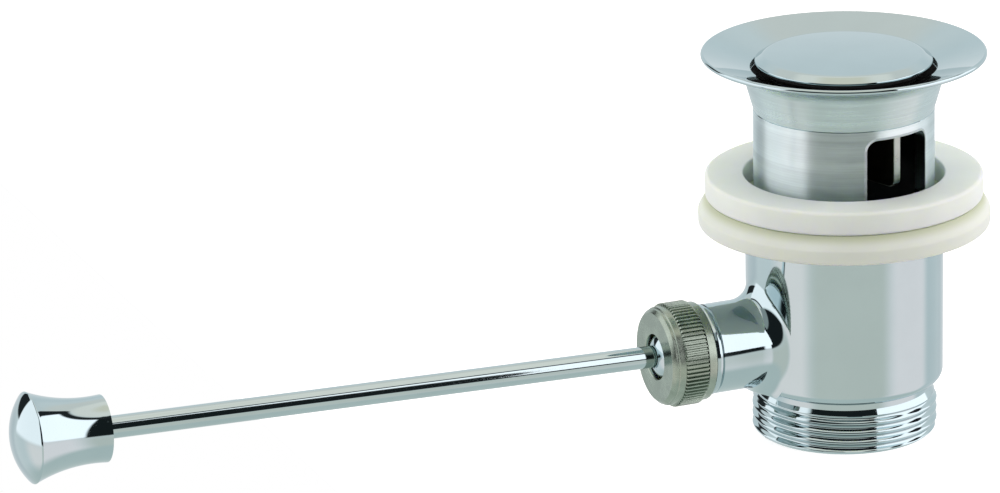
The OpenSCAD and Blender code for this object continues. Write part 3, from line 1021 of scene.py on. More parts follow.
@dataclass
class Plug:
    """The plug: a crowned cap, its rubber seal, a vaned guide, the adjusting screw and its nut."""

    cap_thickness: float = 1.7 * MM
    cap_bevel: float = 2.0 * MM
    cap_drop: float = 1.25 * MM
    cap_soft: float = 2.2 * MM
    cap_edge: float = 0.3 * MM
    cap_crown: float = 0.6 * MM
    cap_under_round: float = 0.12 * MM
    stem_radius: float = 3.0 * MM
    stem_room: float = 0.02 * MM
    stud_length: float = 12.0 * MM
    seal_bevel: float = 1.0 * MM
    seal_hole: float = 7.0 * MM
    seal_thickness: float = 2.0 * MM
    seal_soft: float = 0.2 * MM
    seal_room: float = 0.06 * MM
    plate_radius: float = 16.6 * MM
    plate_thickness: float = 1.5 * MM
    hub_radius: float = 5.0 * MM
    hub_round: float = 0.8 * MM
    guide_soft: float = 0.3 * MM
    vane_tip: float = 16.9 * MM
    vane_length: float = 22.4 * MM
    vane_thickness: float = 2.1 * MM
    vane_corner: float = 1.9 * MM
    vane_count: int = 4
    vane_turn: float = math.radians(-70.7)
    tip_band: float = 0.4 * MM
    tip_facing: float = 0.6
    nut_width: float = 10.0 * MM
    nut_facet: float = 0.6 * MM
    nut_relief: float = 0.1 * MM
    thread_pitch: float = 1.0 * MM
    thread_depth: float = 0.35 * MM
    thread_profile: tuple[tuple[float, float], ...] = ((0.0, 0.0), (0.3, 1.0), (0.5, 1.0), (0.8, 0.0))
    screw_chamfer: float = 0.5 * MM

    def build_cap(self) -> bpy.types.Object:
        """Turns the crowned cap, whose edge slopes softly down, with its stud."""
        room = Extent.of("plug_cap")
        flat = room.radius - self.cap_bevel
        top = room.top - self.cap_crown
        under = top - self.cap_thickness
        crown = (flat**2 + self.cap_crown**2) / (2 * self.cap_crown)
        inside = flat - MM
        spread = math.asin(inside / crown)
        line = Outline.rounded(
            [
                Corner(0.0, under - self.stud_length),
                Corner(self.stem_radius, under - self.stud_length),
                Corner(self.stem_radius, under),
                Corner(room.radius, under, self.cap_under_round),
                Corner(room.radius, top - self.cap_drop, self.cap_edge),
                Corner(flat, top, self.cap_soft),
                Corner(inside, room.top - crown + crown * math.cos(spread)),
            ],
            steps=10,
        )
        line.arc((0.0, room.top - crown), crown, math.pi / 2 - spread, math.pi / 2, 24)
        return UPRIGHT.turn_smooth("crowned_cap", line)

    def build_seal(self) -> bpy.types.Object:
        """Turns the bevelled rubber ring."""
        room = Extent.of("plug_seal")
        soft = self.seal_soft
        return UPRIGHT.turn_smooth(
            "rubber_seal",
            Outline.rounded(
                [
                    Corner(self.seal_hole, room.bottom),
                    Corner(room.radius - self.seal_bevel, room.bottom, soft),
                    Corner(room.radius, room.bottom + self.seal_bevel, soft),
                    Corner(room.radius, room.top, soft),
                    Corner(self.seal_hole, room.top),
                ]
            ),
        )

    def build_guide(self) -> bpy.types.Object:
        """Turns the plate and hub of the guide and sets its vanes round them."""
        room = Extent.of("plug_guide")
        seat = room.top - self.seal_thickness
        under = seat - self.plate_thickness
        bore = self.stem_radius + self.stem_room
        soft = self.guide_soft
        collar = self.seal_hole - self.seal_room
        guide = UPRIGHT.turn(
            "vaned_guide",
            Outline.rounded(
                [
                    Corner(bore, room.top),
                    Corner(collar, room.top),
                    Corner(collar, seat),
                    Corner(self.plate_radius, seat, soft),
                    Corner(self.plate_radius, under, soft),
                    Corner(self.hub_radius, under, self.hub_round),
                    Corner(self.hub_radius, room.bottom, soft),
                    Corner(bore, room.bottom),
                ]
            ),
            COARSE_STEPS,
        )
        turns = [self.vane_turn + math.tau * k / self.vane_count for k in range(self.vane_count)]
        Bench.join(guide, *(self.vane(turn, under) for turn in turns))
        Bench.smooth(guide)
        return guide

    def vane(self, turn: float, top: float) -> bpy.types.Object:
        """One vane, rounded at its lower outer corner and along its edges.

        Args:
            turn: The vane's direction about the plug's axis.
            top: The level of the plate that it hangs from.

        Returns:
            The vane.
        """
        inner = self.stem_radius + MM
        depth = self.vane_length + self.plate_thickness / 2
        width = self.vane_tip - inner
        out = inner + width / 2
        level = top + self.plate_thickness / 2 - depth / 2
        vane = Bench.block(
            (width, self.vane_thickness, depth),
            (out, 0.0, level),
            self.vane_corner,
            lambda one, two: min(one.x, two.x) > out and max(one.z, two.z) < level,
        )
        soften = vane.modifiers.new("soften", "BEVEL")
        soften.width = self.guide_soft
        soften.segments = 3
        bpy.ops.object.modifier_apply(modifier=soften.name)
        vane.rotation_euler = (0.0, 0.0, turn)
        Bench.close(vane)
        return vane

    def finish_tips(self, guide: bpy.types.Object) -> None:
        """Gives the vanes' outer faces the second finish, a lighter nickel.

        Args:
            guide: The built guide.
        """
        for face in guide.data.polygons:
            outward = Vector((face.center.x, face.center.y, 0.0))
            facing = face.normal.dot(outward.normalized()) > self.tip_facing
            if outward.length > self.vane_tip - self.tip_band and facing:
                face.material_index = 1

    def build_screw(self) -> bpy.types.Object:
        """Turns the adjusting screw, with a domed foot and the rings of its thread."""
        room = Extent.of("adjusting_screw")
        foot = room.bottom + self.stem_radius
        line = Outline().arc((0.0, foot), self.stem_radius, -math.pi / 2, 0.0, 10)
        level = foot + self.thread_pitch
        while level < room.top - self.thread_pitch:
            for share, sunk in self.thread_profile:
                out = self.stem_radius - sunk * self.thread_depth
                line.to(out, level + share * self.thread_pitch)
            level += self.thread_pitch
        line.to(self.stem_radius - self.screw_chamfer, room.top)
        line.to(0.0, room.top)
        return UPRIGHT.turn_smooth("adjusting_stem", line, COARSE_STEPS)

    def build_lock_nut(self) -> bpy.types.Object:
        """Makes the six-sided lock nut: a drilled prism with its corners turned off."""
        room = Extent.of("lock_nut")
        flat = self.nut_width / 2
        across = flat / math.cos(math.pi / 6)
        Bench.put_down()
        bpy.ops.mesh.primitive_cylinder_add(
            vertices=6,
            radius=across,
            depth=room.top - room.bottom,
            location=(0.0, 0.0, (room.top + room.bottom) / 2),
            rotation=(0.0, 0.0, math.pi / 6),
        )
        nut = bpy.context.object
        nut.name = "six_sided_nut"
        Bench.close(nut)
        inside = flat - self.nut_relief
        bore = self.stem_radius + self.stem_room
        line = Outline()
        line.to(inside, room.bottom)
        line.to(across, room.bottom + self.nut_facet)
        line.to(across, room.top - self.nut_facet)
        line.to(inside, room.top)
        line.to(bore, room.top)
        line.to(bore, room.bottom)
        shell = UPRIGHT.turn("nut_turning", line, COARSE_STEPS)
        Bench.take(nut)
        face_off = nut.modifiers.new("face_off", "BOOLEAN")
        face_off.operation = "INTERSECT"
        face_off.solver = "EXACT"
        face_off.object = shell
        bpy.ops.object.modifier_apply(modifier=face_off.name)
        bpy.data.objects.remove(shell)
        Bench.smooth(nut)
        return nut

    def build(self) -> None:
        """Builds and dresses every piece of the plug."""
        Wear(Carrier.PLUG, "plug_cap", Slot.CHROME).put_on(self.build_cap(), CHROME)
        Wear(Carrier.PLUG, "plug_seal", Slot.BLACK_RUBBER).put_on(self.build_seal(), BLACK_RUBBER)
        guide = self.build_guide()
        self.finish_tips(guide)
        Wear(Carrier.PLUG, "plug_guide", Slot.PLAIN_BRASS).put_on(guide, DULL_BRASS, TIP_NICKEL)
        Wear(Carrier.PLUG, "adjusting_screw", Slot.STEEL).put_on(self.build_screw(), ZINC_STEEL)
        Wear(Carrier.PLUG, "lock_nut", Slot.PLAIN_BRASS).put_on(self.build_lock_nut(), DULL_BRASS)


@dataclass
class Washers:
    """The two white washers: a flat one over one with a swollen, leaning side."""

    upper_hole: float = 22.65 * MM
    lower_hole: float = 21.2 * MM
    soft_edge: float = 0.8 * MM
    hole_edge: float = 0.35 * MM
    lower_wide_at: float = 3.3 * MM
    lower_lean: float = 1.9 * MM
    crest_round: float = 1.2 * MM
    unshaded_over_crest: float = 0.8 * MM

    def build_upper(self) -> bpy.types.Object:
        """Turns the flat ring with soft edges."""
        room = Extent.of("upper_washer")
        return UPRIGHT.turn_smooth(
            "flat_washer",
            Outline.rounded(
                [
                    Corner(self.upper_hole, room.bottom, self.hole_edge),
                    Corner(room.radius, room.bottom, self.soft_edge),
                    Corner(room.radius, room.top, self.soft_edge),
                    Corner(self.upper_hole, room.top, self.hole_edge),
                ]
            ),
        )

    def build_lower(self) -> bpy.types.Object:
        """Turns the ring whose side rises to a soft crest and then leans in to its top."""
        room = Extent.of("lower_washer")
        return UPRIGHT.turn_smooth(
            "swollen_washer",
            Outline.rounded(
                [
                    Corner(self.lower_hole, room.top, self.hole_edge),
                    Corner(self.lower_hole, room.bottom, self.hole_edge),
                    Corner(room.radius, room.bottom, self.soft_edge),
                    Corner(room.radius, room.bottom + self.lower_wide_at, self.crest_round),
                    Corner(room.radius - self.lower_lean, room.top, self.hole_edge),
                ]
            ),
        )

    def build(self) -> None:
        """Builds and dresses both washers."""
        Wear(Carrier.UPPER_WASHER, "upper_washer", Slot.WHITE_WASHER).put_on(
            self.build_upper(), WHITE_PLASTIC
        )
        room = Extent.of("lower_washer")
        # The lower washer's top carries painted shade for the crease under the upper washer.
        ivory = CreaseShadedPlastic(
            "ivory_polyethylene",
            linear(228, 236, 228),
            0.48,
            unshaded_to=room.bottom + self.lower_wide_at + self.unshaded_over_crest,
            shaded_from=room.top,
        )
        Wear(Carrier.LOWER_WASHER, "lower_washer", Slot.IVORY_WASHER).put_on(
            self.build_lower(), ivory
        )


@dataclass
class CastBody:
    """The cast lower body: a tube, the lever arm with a rolling blend at its root, and the outlet."""

    radius: float = 22.34 * MM
    shoulder: float = -75.6 * MM
    shoulder_round: float = 2.6 * MM
    socket_radius: float = 20.41 * MM
    socket_floor: float = -50.8 * MM
    bore_radius: float = 17.505 * MM
    neck_radius: float = 19.605 * MM
    neck_length: float = 1.8 * MM
    outlet_radius: float = 20.955 * MM
    thread_pitch: float = 2.309 * MM
    thread_depth: float = 0.9 * MM
    thread_chamfer: float = 0.8 * MM
    thread_run_in: float = 0.5
    thread_rows: int = 20
    core_radius: float = 18.9 * MM
    arm_level: float = -64.3 * MM
    arm_radius: float = 10.15 * MM
    arm_reach: float = 36.1 * MM
    collar_length: float = 1.7 * MM
    collar_rise: float = 0.12 * MM
    blend_radius: float = 5.0 * MM
    blend_steps: int = 16
    arm_sides: int = 144
    passage_radius: float = 6.8 * MM
    gland_radius: float = 9.6 * MM
    gland_reach: float = 43.4 * MM
    seat_bore: float = 7.61 * MM
    seat_start: float = 34.67 * MM
    root_radius: float = 19.5 * MM
    mouth_chamfer: float = 0.4 * MM
    top_round: float = 0.4 * MM
    socket_round: float = 0.3 * MM
    arm_edge: float = 0.5 * MM
    thread_sink: float = 0.2 * MM
    drill_over: float = 3.0 * MM
    drill_into: float = 6.0 * MM
    gland_relief: float = 1.0 * MM

    def build(self) -> bpy.types.Object:
        """Turns the tube, drills it, and joins the arm and the outlet's thread to it."""
        piece = UPRIGHT.turn("cast_body", self.outline())
        outer = Vector((-self.radius - self.drill_over, 0.0, self.arm_level))
        inner = Vector((-self.bore_radius + self.drill_into, 0.0, self.arm_level))
        Bench.cut(piece, Bench.drill(self.passage_radius, inner, outer))
        Bench.smooth(piece)
        arm = self.build_arm()
        Bench.smooth(arm)
        thread = self.build_thread()
        Bench.smooth(thread, THREAD_ANGLE)
        return Bench.join(piece, arm, thread)

    def outline(self) -> Outline:
        """The tube's outline, with a slim core where the thread is set on."""
        room = Extent.of("waste_body")
        sunk = self.outlet_radius - self.radius + self.shoulder_round
        drop = math.sqrt(self.shoulder_round**2 - sunk**2)
        thread_top = self.shoulder - self.neck_length
        line = Outline()
        line.to(self.bore_radius, room.bottom + self.mouth_chamfer)
        line.to(self.bore_radius + self.mouth_chamfer, room.bottom)
        line.to(self.core_radius, room.bottom)
        line.to(self.core_radius, thread_top)
        line.to(self.neck_radius, thread_top)
        line.to(self.neck_radius, self.shoulder)
        hub = (self.radius - self.shoulder_round, self.shoulder + drop)
        line.arc(hub, self.shoulder_round, -math.asin(drop / self.shoulder_round), 0.0, 12)
        top_edge = Outline.rounded(
            [
                Corner(self.radius, self.shoulder),
                Corner(self.radius, room.top, self.top_round),
                Corner(self.socket_radius, room.top, self.socket_round),
                Corner(self.socket_radius, self.socket_floor),
                Corner(self.bore_radius, self.socket_floor),
            ]
        )
        line.points.extend(top_edge.points[1:])
        return line

    def build_arm(self) -> bpy.types.Object:
        """Builds the arm as one skin: bore, seat, gland thread, outside and rolling blend.

        A ball of the blend's radius rolls round the corner between the arm and the tube, and the
        blend is the skin that it touches. No lathe or bevel gives that face, so its points are
        worked out one by one.

        Returns:
            The arm.
        """
        columns = []
        for i in range(self.arm_sides):
            turn = math.tau * i / self.arm_sides
            columns.append(self.arm_column(math.cos(turn), math.sin(turn)))
        piece = Bench.skin("lever_arm", columns)
        Bench.close(piece)
        return piece

    def arm_column(self, across: float, up: float) -> list[Vector]:
        """The closed line of points along the arm at one turn about its axis.

        Args:
            across: Cosine of the turn, from +Y.
            up: Sine of the turn.

        Returns:
            The points, from the passage out along the blend and the arm and back in.
        """
        span = self.radius + self.blend_radius
        ball_y = (self.arm_radius + self.blend_radius) * across
        ball_z = (self.arm_radius + self.blend_radius) * up
        ball = Vector((-math.sqrt(span**2 - ball_y**2), ball_y, ball_z))
        to_arm = Vector((0.0, -across, -up))
        to_tube = -Vector((ball.x, ball.y, 0.0)) / span
        blend = [
            ball + to_tube.slerp(to_arm, k / self.blend_steps) * self.blend_radius
            for k in range(self.blend_steps + 1)
        ]
        touch = blend[0]
        root_scale = self.root_radius / self.radius
        root = Vector((touch.x * root_scale, touch.y * root_scale, touch.z))
        mouth_y = self.passage_radius * across
        mouth = Vector((-math.sqrt(self.root_radius**2 - mouth_y**2), mouth_y, 0.0))
        mouth.z = self.passage_radius * up
        floor = self.shoulder - self.arm_level + LEVEL_ROOM
        face = [mouth, root, *blend]
        for point in face:
            point.z = max(point.z, floor)
        edge = self.arm_edge
        proud = self.arm_radius + self.collar_rise
        groove = self.arm_reach - self.collar_length
        thread_start = self.arm_reach + self.gland_relief
        line = Outline()
        line.to(self.arm_radius, groove - 0.3 * edge)
        line.to(self.arm_radius - 0.5 * edge, groove)
        line.to(proud - 0.3 * edge, groove + 0.3 * edge)
        line.to(proud, groove + 0.9 * edge)
        line.to(proud, self.arm_reach - edge)
        line.to(proud - 0.3 * edge, self.arm_reach - 0.3 * edge)
        line.to(proud - edge, self.arm_reach)
        line.to(self.gland_radius - edge, self.arm_reach)
        line.to(self.gland_radius - edge, thread_start)
        line.to(self.gland_radius, thread_start + edge)
        line.to(self.gland_radius, self.gland_reach - edge)
        line.to(self.gland_radius - edge, self.gland_reach)
        line.to(self.seat_bore, self.gland_reach)
        line.to(self.seat_bore, self.seat_start)
        line.to(self.passage_radius, self.seat_start)
        face.extend(Vector((-reach, out * across, out * up)) for out, reach in line.points)
        lift = Vector((0.0, 0.0, self.arm_level))
        return [point + lift for point in face]

    def build_thread(self) -> bpy.types.Object:
        """Winds the outlet's thread as one skin that climbs a pitch in each turn."""
        room = Extent.of("waste_body")
        top = self.shoulder - self.neck_length
        bottom = room.bottom
        rows = self.thread_rows
        turns = math.ceil((top - bottom) / self.thread_pitch) + 2
        columns = []
        for i in range(FINE_STEPS):
            share = i / FINE_STEPS
            column = []
            for j in range(rows * turns + 1):
                level = top + self.thread_pitch * (1.0 - share - j / rows)
                out = self.thread_out(j / rows, level, top, bottom)
                level = min(top, max(bottom, level))
                angle = math.tau * share
                column.append(Vector((out * math.cos(angle), out * math.sin(angle), level)))
            columns.append(column)
        piece = Bench.skin("outlet_thread", columns, rows)
        Bench.close(piece)
        Bench.take(piece)
        inner = self.core_radius - self.thread_sink
        self.draw_in(piece, top, inner / self.neck_radius)
        self.draw_in(piece, bottom, inner / (self.outlet_radius - self.thread_chamfer))
        bpy.ops.object.mode_set(mode="EDIT")
        bpy.ops.mesh.select_all(action="DESELECT")
        bpy.ops.mesh.select_non_manifold(extend=False, use_wire=False, use_multi_face=False)
        bpy.ops.mesh.bridge_edge_loops()
        bpy.ops.object.mode_set(mode="OBJECT")
        Bench.close(piece)
        return piece

    @staticmethod
    def draw_in(piece: bpy.types.Object, level: float, share: float) -> None:
        """Draws the open edge of a skin inwards at one level, as a flat end.

        Args:
            piece: The skin.
            level: The level of the open edge.
            share: What is left of the edge's radius.
        """
        bpy.ops.object.mode_set(mode="EDIT")
        bpy.ops.mesh.select_mode(type="EDGE")
        bpy.ops.mesh.select_all(action="DESELECT")
        bpy.ops.mesh.select_non_manifold(extend=False, use_wire=False, use_multi_face=False)
        bpy.ops.object.mode_set(mode="OBJECT")
        for edge in piece.data.edges:
            ends = [piece.data.vertices[v].co for v in edge.vertices]
            edge.select = edge.select and all(abs(end.z - level) < LEVEL_ROOM for end in ends)
        bpy.ops.object.mode_set(mode="EDIT")
        bpy.ops.mesh.extrude_edges_move(TRANSFORM_OT_translate={"value": (0.0, 0.0, 0.0)})
        bpy.ops.transform.resize(value=(share, share, 1.0), center_override=(0.0, 0.0, level))
        bpy.ops.object.mode_set(mode="OBJECT")

    def thread_out(self, phase: float, level: float, top: float, bottom: float) -> float:
        """How far the thread stands out.

        Args:
            phase: The place in the pitch, whose whole part doesn't matter.
            level: The height.
            top: Where the thread starts.
            bottom: Where it ends.

        Returns:
            The radius there.
        """
        end_out = self.outlet_radius - self.thread_chamfer
        if level >= top:
            return self.neck_radius
        if level <= bottom:
            return end_out
        hollow = 0.5 + 0.5 * math.cos(math.tau * phase)
        out = self.outlet_radius - self.thread_depth * hollow
        run_in = (top - level) * self.thread_run_in + self.neck_radius
        from_end = min(run_in, (level - bottom) + end_out)
        return min(out, from_end)

    def dress(self, piece: bpy.types.Object) -> None:
        """Chrome all over, as the whole casting is plated."""
        Wear(Carrier.ROOT, "waste_body", Slot.CHROME).put_on(piece, CAST_CHROME)


@dataclass
class BallJoint:
    """The ball joint's fixed pieces and the knurled nut that closes it."""

    level: float = -64.3 * MM
    ball_reach: float = 39.7 * MM
    pocket_radius: float = 6.58 * MM
    seat_radius: float = 7.55 * MM
    seat_hole: float = 5.2 * MM
    nut_knurl: float = 11.75 * MM
    nut_band: float = 11.15 * MM
    nut_bore: float = 9.66 * MM
    nut_hole: float = 5.15 * MM
    nut_wall: float = 2.5 * MM
    nut_lip: float = 0.6 * MM
    nut_bevel: float = 0.75 * MM
    nut_step: float = 0.35 * MM
    nut_stand: float = 1.3 * MM
    nut_proud: float = 0.4 * MM
    nut_rear: float = 3.4 * MM
    rear_round: float = 0.45 * MM
    band_round: float = 0.15 * MM
    step_round: float = 0.12 * MM
    step_rise: float = 0.15 * MM
    groove_round: float = 0.08 * MM
    rim_round: float = 0.1 * MM
    hole_round: float = 0.3 * MM
    knurl_chamfer: float = 0.3 * MM
    knurl_share: float = 0.49
    knurl_over: float = 0.05 * MM
    knurl_length: float = 5.7 * MM
    knurl_depth: float = 0.55 * MM
    knurl_count: int = 72
    knurl_columns: int = 6

    @property
    def spindle(self) -> Spindle:
        """The arm's axis, running out from the body."""
        return Spindle(Vector((0.0, 0.0, self.level)), Vector((-1.0, 0.0, 0.0)))

    def build_seat(self, name: str, node: str, outward: float) -> bpy.types.Object:
        """Turns one ball seat, hollowed to the ball.

        Args:
            name: The piece's name.
            node: The CAD node that it stands for.
            outward: 1 for the seat outside the ball, -1 for the one behind it.

        Returns:
            The seat.
        """
        room = Extent.of(node)
        near, far = sorted((-room.low.x, -room.high.x), key=lambda end: outward * end)
        brim_out = math.sqrt(self.pocket_radius**2 - (near - self.ball_reach) ** 2)
        first = math.asin((near - self.ball_reach) / self.pocket_radius)
        last = outward * math.acos(self.seat_hole / self.pocket_radius)
        line = Outline()
        line.to(self.seat_radius, far)
        line.to(self.seat_radius, near)
        line.to(brim_out, near)
        line.arc((0.0, self.ball_reach), self.pocket_radius, first, last, 8)
        line.to(self.seat_hole, far)
        return self.spindle.turn_smooth(name, line, COARSE_STEPS)

    def build_nut(self) -> bpy.types.Object:
        """Turns the nut and presses the knurl into its middle band."""
        room = Extent.of("gland_nut")
        rear = -room.high.x
        front = -room.low.x + self.nut_proud
        knurl_start = rear + self.nut_rear
        knurl_end = knurl_start + self.knurl_length
        rim = self.nut_band - self.nut_step
        step = front - 2 * self.nut_bevel
        chamfer = self.knurl_chamfer
        line = Outline.rounded(
            [
                Corner(self.nut_bore, rear + self.nut_stand),
                Corner(self.nut_band, rear + self.nut_stand, self.rear_round),
                Corner(self.nut_band, knurl_start, self.band_round),
                Corner(self.nut_knurl - chamfer, knurl_start),
                Corner(self.nut_knurl, knurl_start + chamfer),
                Corner(self.nut_knurl, knurl_end - chamfer),
                Corner(self.nut_knurl - chamfer, knurl_end),
                Corner(self.nut_band, knurl_end, self.band_round),
                Corner(self.nut_band, step, self.step_round),
                Corner(rim, step + self.step_rise, self.groove_round),
                Corner(rim, front - self.nut_bevel, self.rim_round),
                Corner(rim - self.nut_bevel, front, self.step_round),
                Corner(self.nut_hole, front, self.hole_round),
                Corner(self.nut_hole, front - self.nut_lip),
            ]
        )
        lip = front - self.nut_lip - self.ball_reach
        inside = -room.low.x - self.nut_wall
        hollow = math.hypot(self.nut_hole, lip)
        first = math.atan2(lip, self.nut_hole)
        last = math.asin((inside - self.ball_reach) / hollow)
        line.arc((0.0, self.ball_reach), hollow, first, last, 6)
        line.to(self.nut_bore, inside)
        piece = self.spindle.turn("knurled_nut", line, self.knurl_count * self.knurl_columns)
        self.knurl(piece, knurl_start, knurl_end)
        Bench.smooth(piece, KNURL_ANGLE)
        return piece

    def knurl(self, piece: bpy.types.Object, start: float, end: float) -> None:
        """Presses the grooves between the ridges.

        Args:
            piece: The turned nut.
            start: Where the knurl begins along the arm.
            end: Where it ends.
        """
        pitch = math.tau / self.knurl_count
        raised = self.nut_band + self.knurl_over
        Bench.take(piece)
        bpy.ops.object.mode_set(mode="EDIT")
        bpy.ops.mesh.select_mode(type="VERT")
        bpy.ops.mesh.select_all(action="DESELECT")
        bpy.ops.object.mode_set(mode="OBJECT")
        for vertex in piece.data.vertices:
            place = vertex.co - self.spindle.centre
            share = (math.atan2(place.z, place.y) / pitch + PHASE_ROOM) % 1.0
            inside = start - WELD < -place.x < end + WELD and math.hypot(place.y, place.z) > raised
            vertex.select = inside and share > self.knurl_share
        bpy.ops.object.mode_set(mode="EDIT")
        shrink = 1.0 - self.knurl_depth / self.nut_knurl
        bpy.ops.transform.resize(
            value=(1.0, shrink, shrink), center_override=self.spindle.centre
        )
        bpy.ops.object.mode_set(mode="OBJECT")

    def build(self) -> None:
        """Builds and dresses the seats and the nut."""
        inner = self.build_seat("inner_seat_ring", "inner_ball_seat", -1.0)
        Wear(Carrier.ROOT, "inner_ball_seat", Slot.SEAT_PLASTIC).put_on(inner, SEAT_PLASTIC)
        outer = self.build_seat("outer_seat_ring", "outer_ball_seat", 1.0)
        Wear(Carrier.ROOT, "outer_ball_seat", Slot.SEAT_PLASTIC).put_on(outer, SEAT_PLASTIC)
        Wear(Carrier.NUT, "gland_nut", Slot.MATT_NICKEL).put_on(self.build_nut(), NUT_NICKEL)


@dataclass
class Lever:
    """The lever: a ball on a slim rod, and a waisted knob with a domed end."""

    pivot: Vector = field(default_factory=lambda: Vector((-39.7 * MM, 0.0, -64.3 * MM)))
    tilt: float = math.radians(1.56)
    ball_radius: float = 6.5 * MM
    cap_radius: float = 7.95 * MM
    cap_spread: float = math.radians(37.0)
    rod_radius: float = 2.5 * MM
    rod_room: float = 0.02 * MM
    rod_inner: float = 43.715 * MM
    rod_chamfer: float = 0.4 * MM
    rod_parts: int = 16
    hole_margin: float = 0.25 * MM
    hole_chamfer: float = 0.2 * MM
    reach: float = 137.0 * MM
    socket: float = 12.0 * MM
    rim_radius: float = 10.05 * MM
    waist_radius: float = 7.25 * MM
    knob_length: float = 16.8 * MM
    waist_at: float = 3.4 * MM
    dome: float = 3.8 * MM
    rim_round: float = 0.3 * MM
    rim_below: float = 0.1 * MM
    rim_above: float = 0.05 * MM
    flare_trim: float = 0.012

    @property
    def spindle(self) -> Spindle:
        """The rod's axis, running out from the ball's centre."""
        return Spindle(self.pivot, Vector((-math.cos(self.tilt), 0.0, math.sin(self.tilt))))

    def build_ball(self) -> bpy.types.Object:
        """Turns the ball, with the rod's hole through it and a prouder cap that fills the nut's hole."""
        hole = self.rod_radius + self.rod_room
        end = math.acos((hole + self.hole_margin) / self.ball_radius)
        rim = math.pi / 2 - self.cap_spread
        line = Outline().arc((0.0, 0.0), self.ball_radius, -end, rim, 40)
        cap_end = math.acos((hole + self.hole_margin) / self.cap_radius)
        line.arc((0.0, 0.0), self.cap_radius, rim, cap_end, 24)
        line.to(hole, math.sqrt(self.cap_radius**2 - hole**2) - self.hole_chamfer)
        line.to(hole, self.hole_chamfer - math.sqrt(self.ball_radius**2 - hole**2))
        return self.spindle.turn_smooth("ball_on_rod", line)

    def build_rod(self) -> bpy.types.Object:
        """Turns the rod, domed at its inner end."""
        line = Outline().arc((0.0, -self.rod_inner), self.rod_radius, -math.pi / 2, 0.0, 10)
        outer = self.reach + self.socket - MM
        stretch = outer + self.rod_inner
        for k in range(1, self.rod_parts):
            line.to(self.rod_radius, -self.rod_inner + stretch * k / self.rod_parts)
        line.to(self.rod_radius, outer - self.rod_chamfer)
        line.to(self.rod_radius - self.rod_chamfer, outer)
        line.to(0.0, outer)
        return self.spindle.turn_smooth("slim_rod", line, COARSE_STEPS)

    def build_knob(self) -> bpy.types.Object:
        """Turns the knob: a hollow flare, a crisp rim and a dome, with a socket for the rod."""
        swell = self.rim_radius - self.waist_radius
        flare = self.knob_length - self.waist_at
        flare_radius = (flare**2 + swell**2) / (2 * swell)
        dome_radius = (self.rim_radius**2 + self.dome**2) / (2 * self.dome)
        hub = (self.waist_radius + flare_radius, self.reach + self.waist_at)
        back = math.pi + math.asin(self.waist_at / flare_radius)
        rim = math.pi - math.asin((flare - self.rim_round) / flare_radius)
        line = Outline()
        line.to(0.0, self.reach + self.socket)
        line.to(self.rod_radius + self.rod_room, self.reach + self.socket)
        line.to(self.rod_radius + self.rod_room, self.reach)
        back_out = hub[0] + flare_radius * math.cos(back)
        line.to(back_out - self.rim_round, self.reach)
        line.to(back_out - 0.1 * self.rim_round, self.reach + 0.3 * self.rim_round)
        line.arc(hub, flare_radius, back - self.flare_trim, rim, 28)
        end = self.reach + self.knob_length
        dome_hub = end + self.dome - dome_radius
        edge = math.acos((self.rim_radius - self.rim_round) / dome_radius)
        line.to(self.rim_radius - 0.08 * self.rim_round, end - self.rim_below)
        line.to(self.rim_radius - 0.3 * self.rim_round, end + self.rim_above)
        line.arc((0.0, dome_hub), dome_radius, edge, math.pi / 2, 28)
        return self.spindle.turn_smooth("flared_knob", line)

    def build(self) -> None:
        """Builds and dresses the lever's pieces."""
        Wear(Carrier.LEVER, "pivot_ball", Slot.CHROME).put_on(self.build_ball(), CHROME)
        Wear(Carrier.LEVER, "lever_rod", Slot.CHROMED_STEEL).put_on(self.build_rod(), ROD_CHROME)
        Wear(Carrier.LEVER, "lever_knob", Slot.CHROME).put_on(self.build_knob(), CHROME)


@dataclass(frozen=True)
class Panel:
    """A soft-edged patch of the studio's surroundings, as seen from the object.

    Angles are in degrees: azimuth from the front, growing towards +X, and elevation.
    """

    azimuth: tuple[float, float]
    elevation: tuple[float, float]
    color: Color
    blur: float = 4.0


@dataclass(frozen=True)
class Card:
    """A flat glowing card near the object, so that its edge shifts along the lever's reflections."""

    corners: tuple[tuple[float, float, float], ...]
    color: Color


@dataclass(frozen=True)
class Lamp:
    """A square soft lamp: its name, where it hangs, its side and its power in watts."""

    name: str
    place: tuple[float, float, float]
    size: float
    power: float


BLACK_CLOTH: Color = (0.015, 0.019, 0.020)
DARK_FRAME: Color = (0.025, 0.028, 0.030)
RIGHT_SOFTBOX: Color = (2.00, 1.86, 1.90)


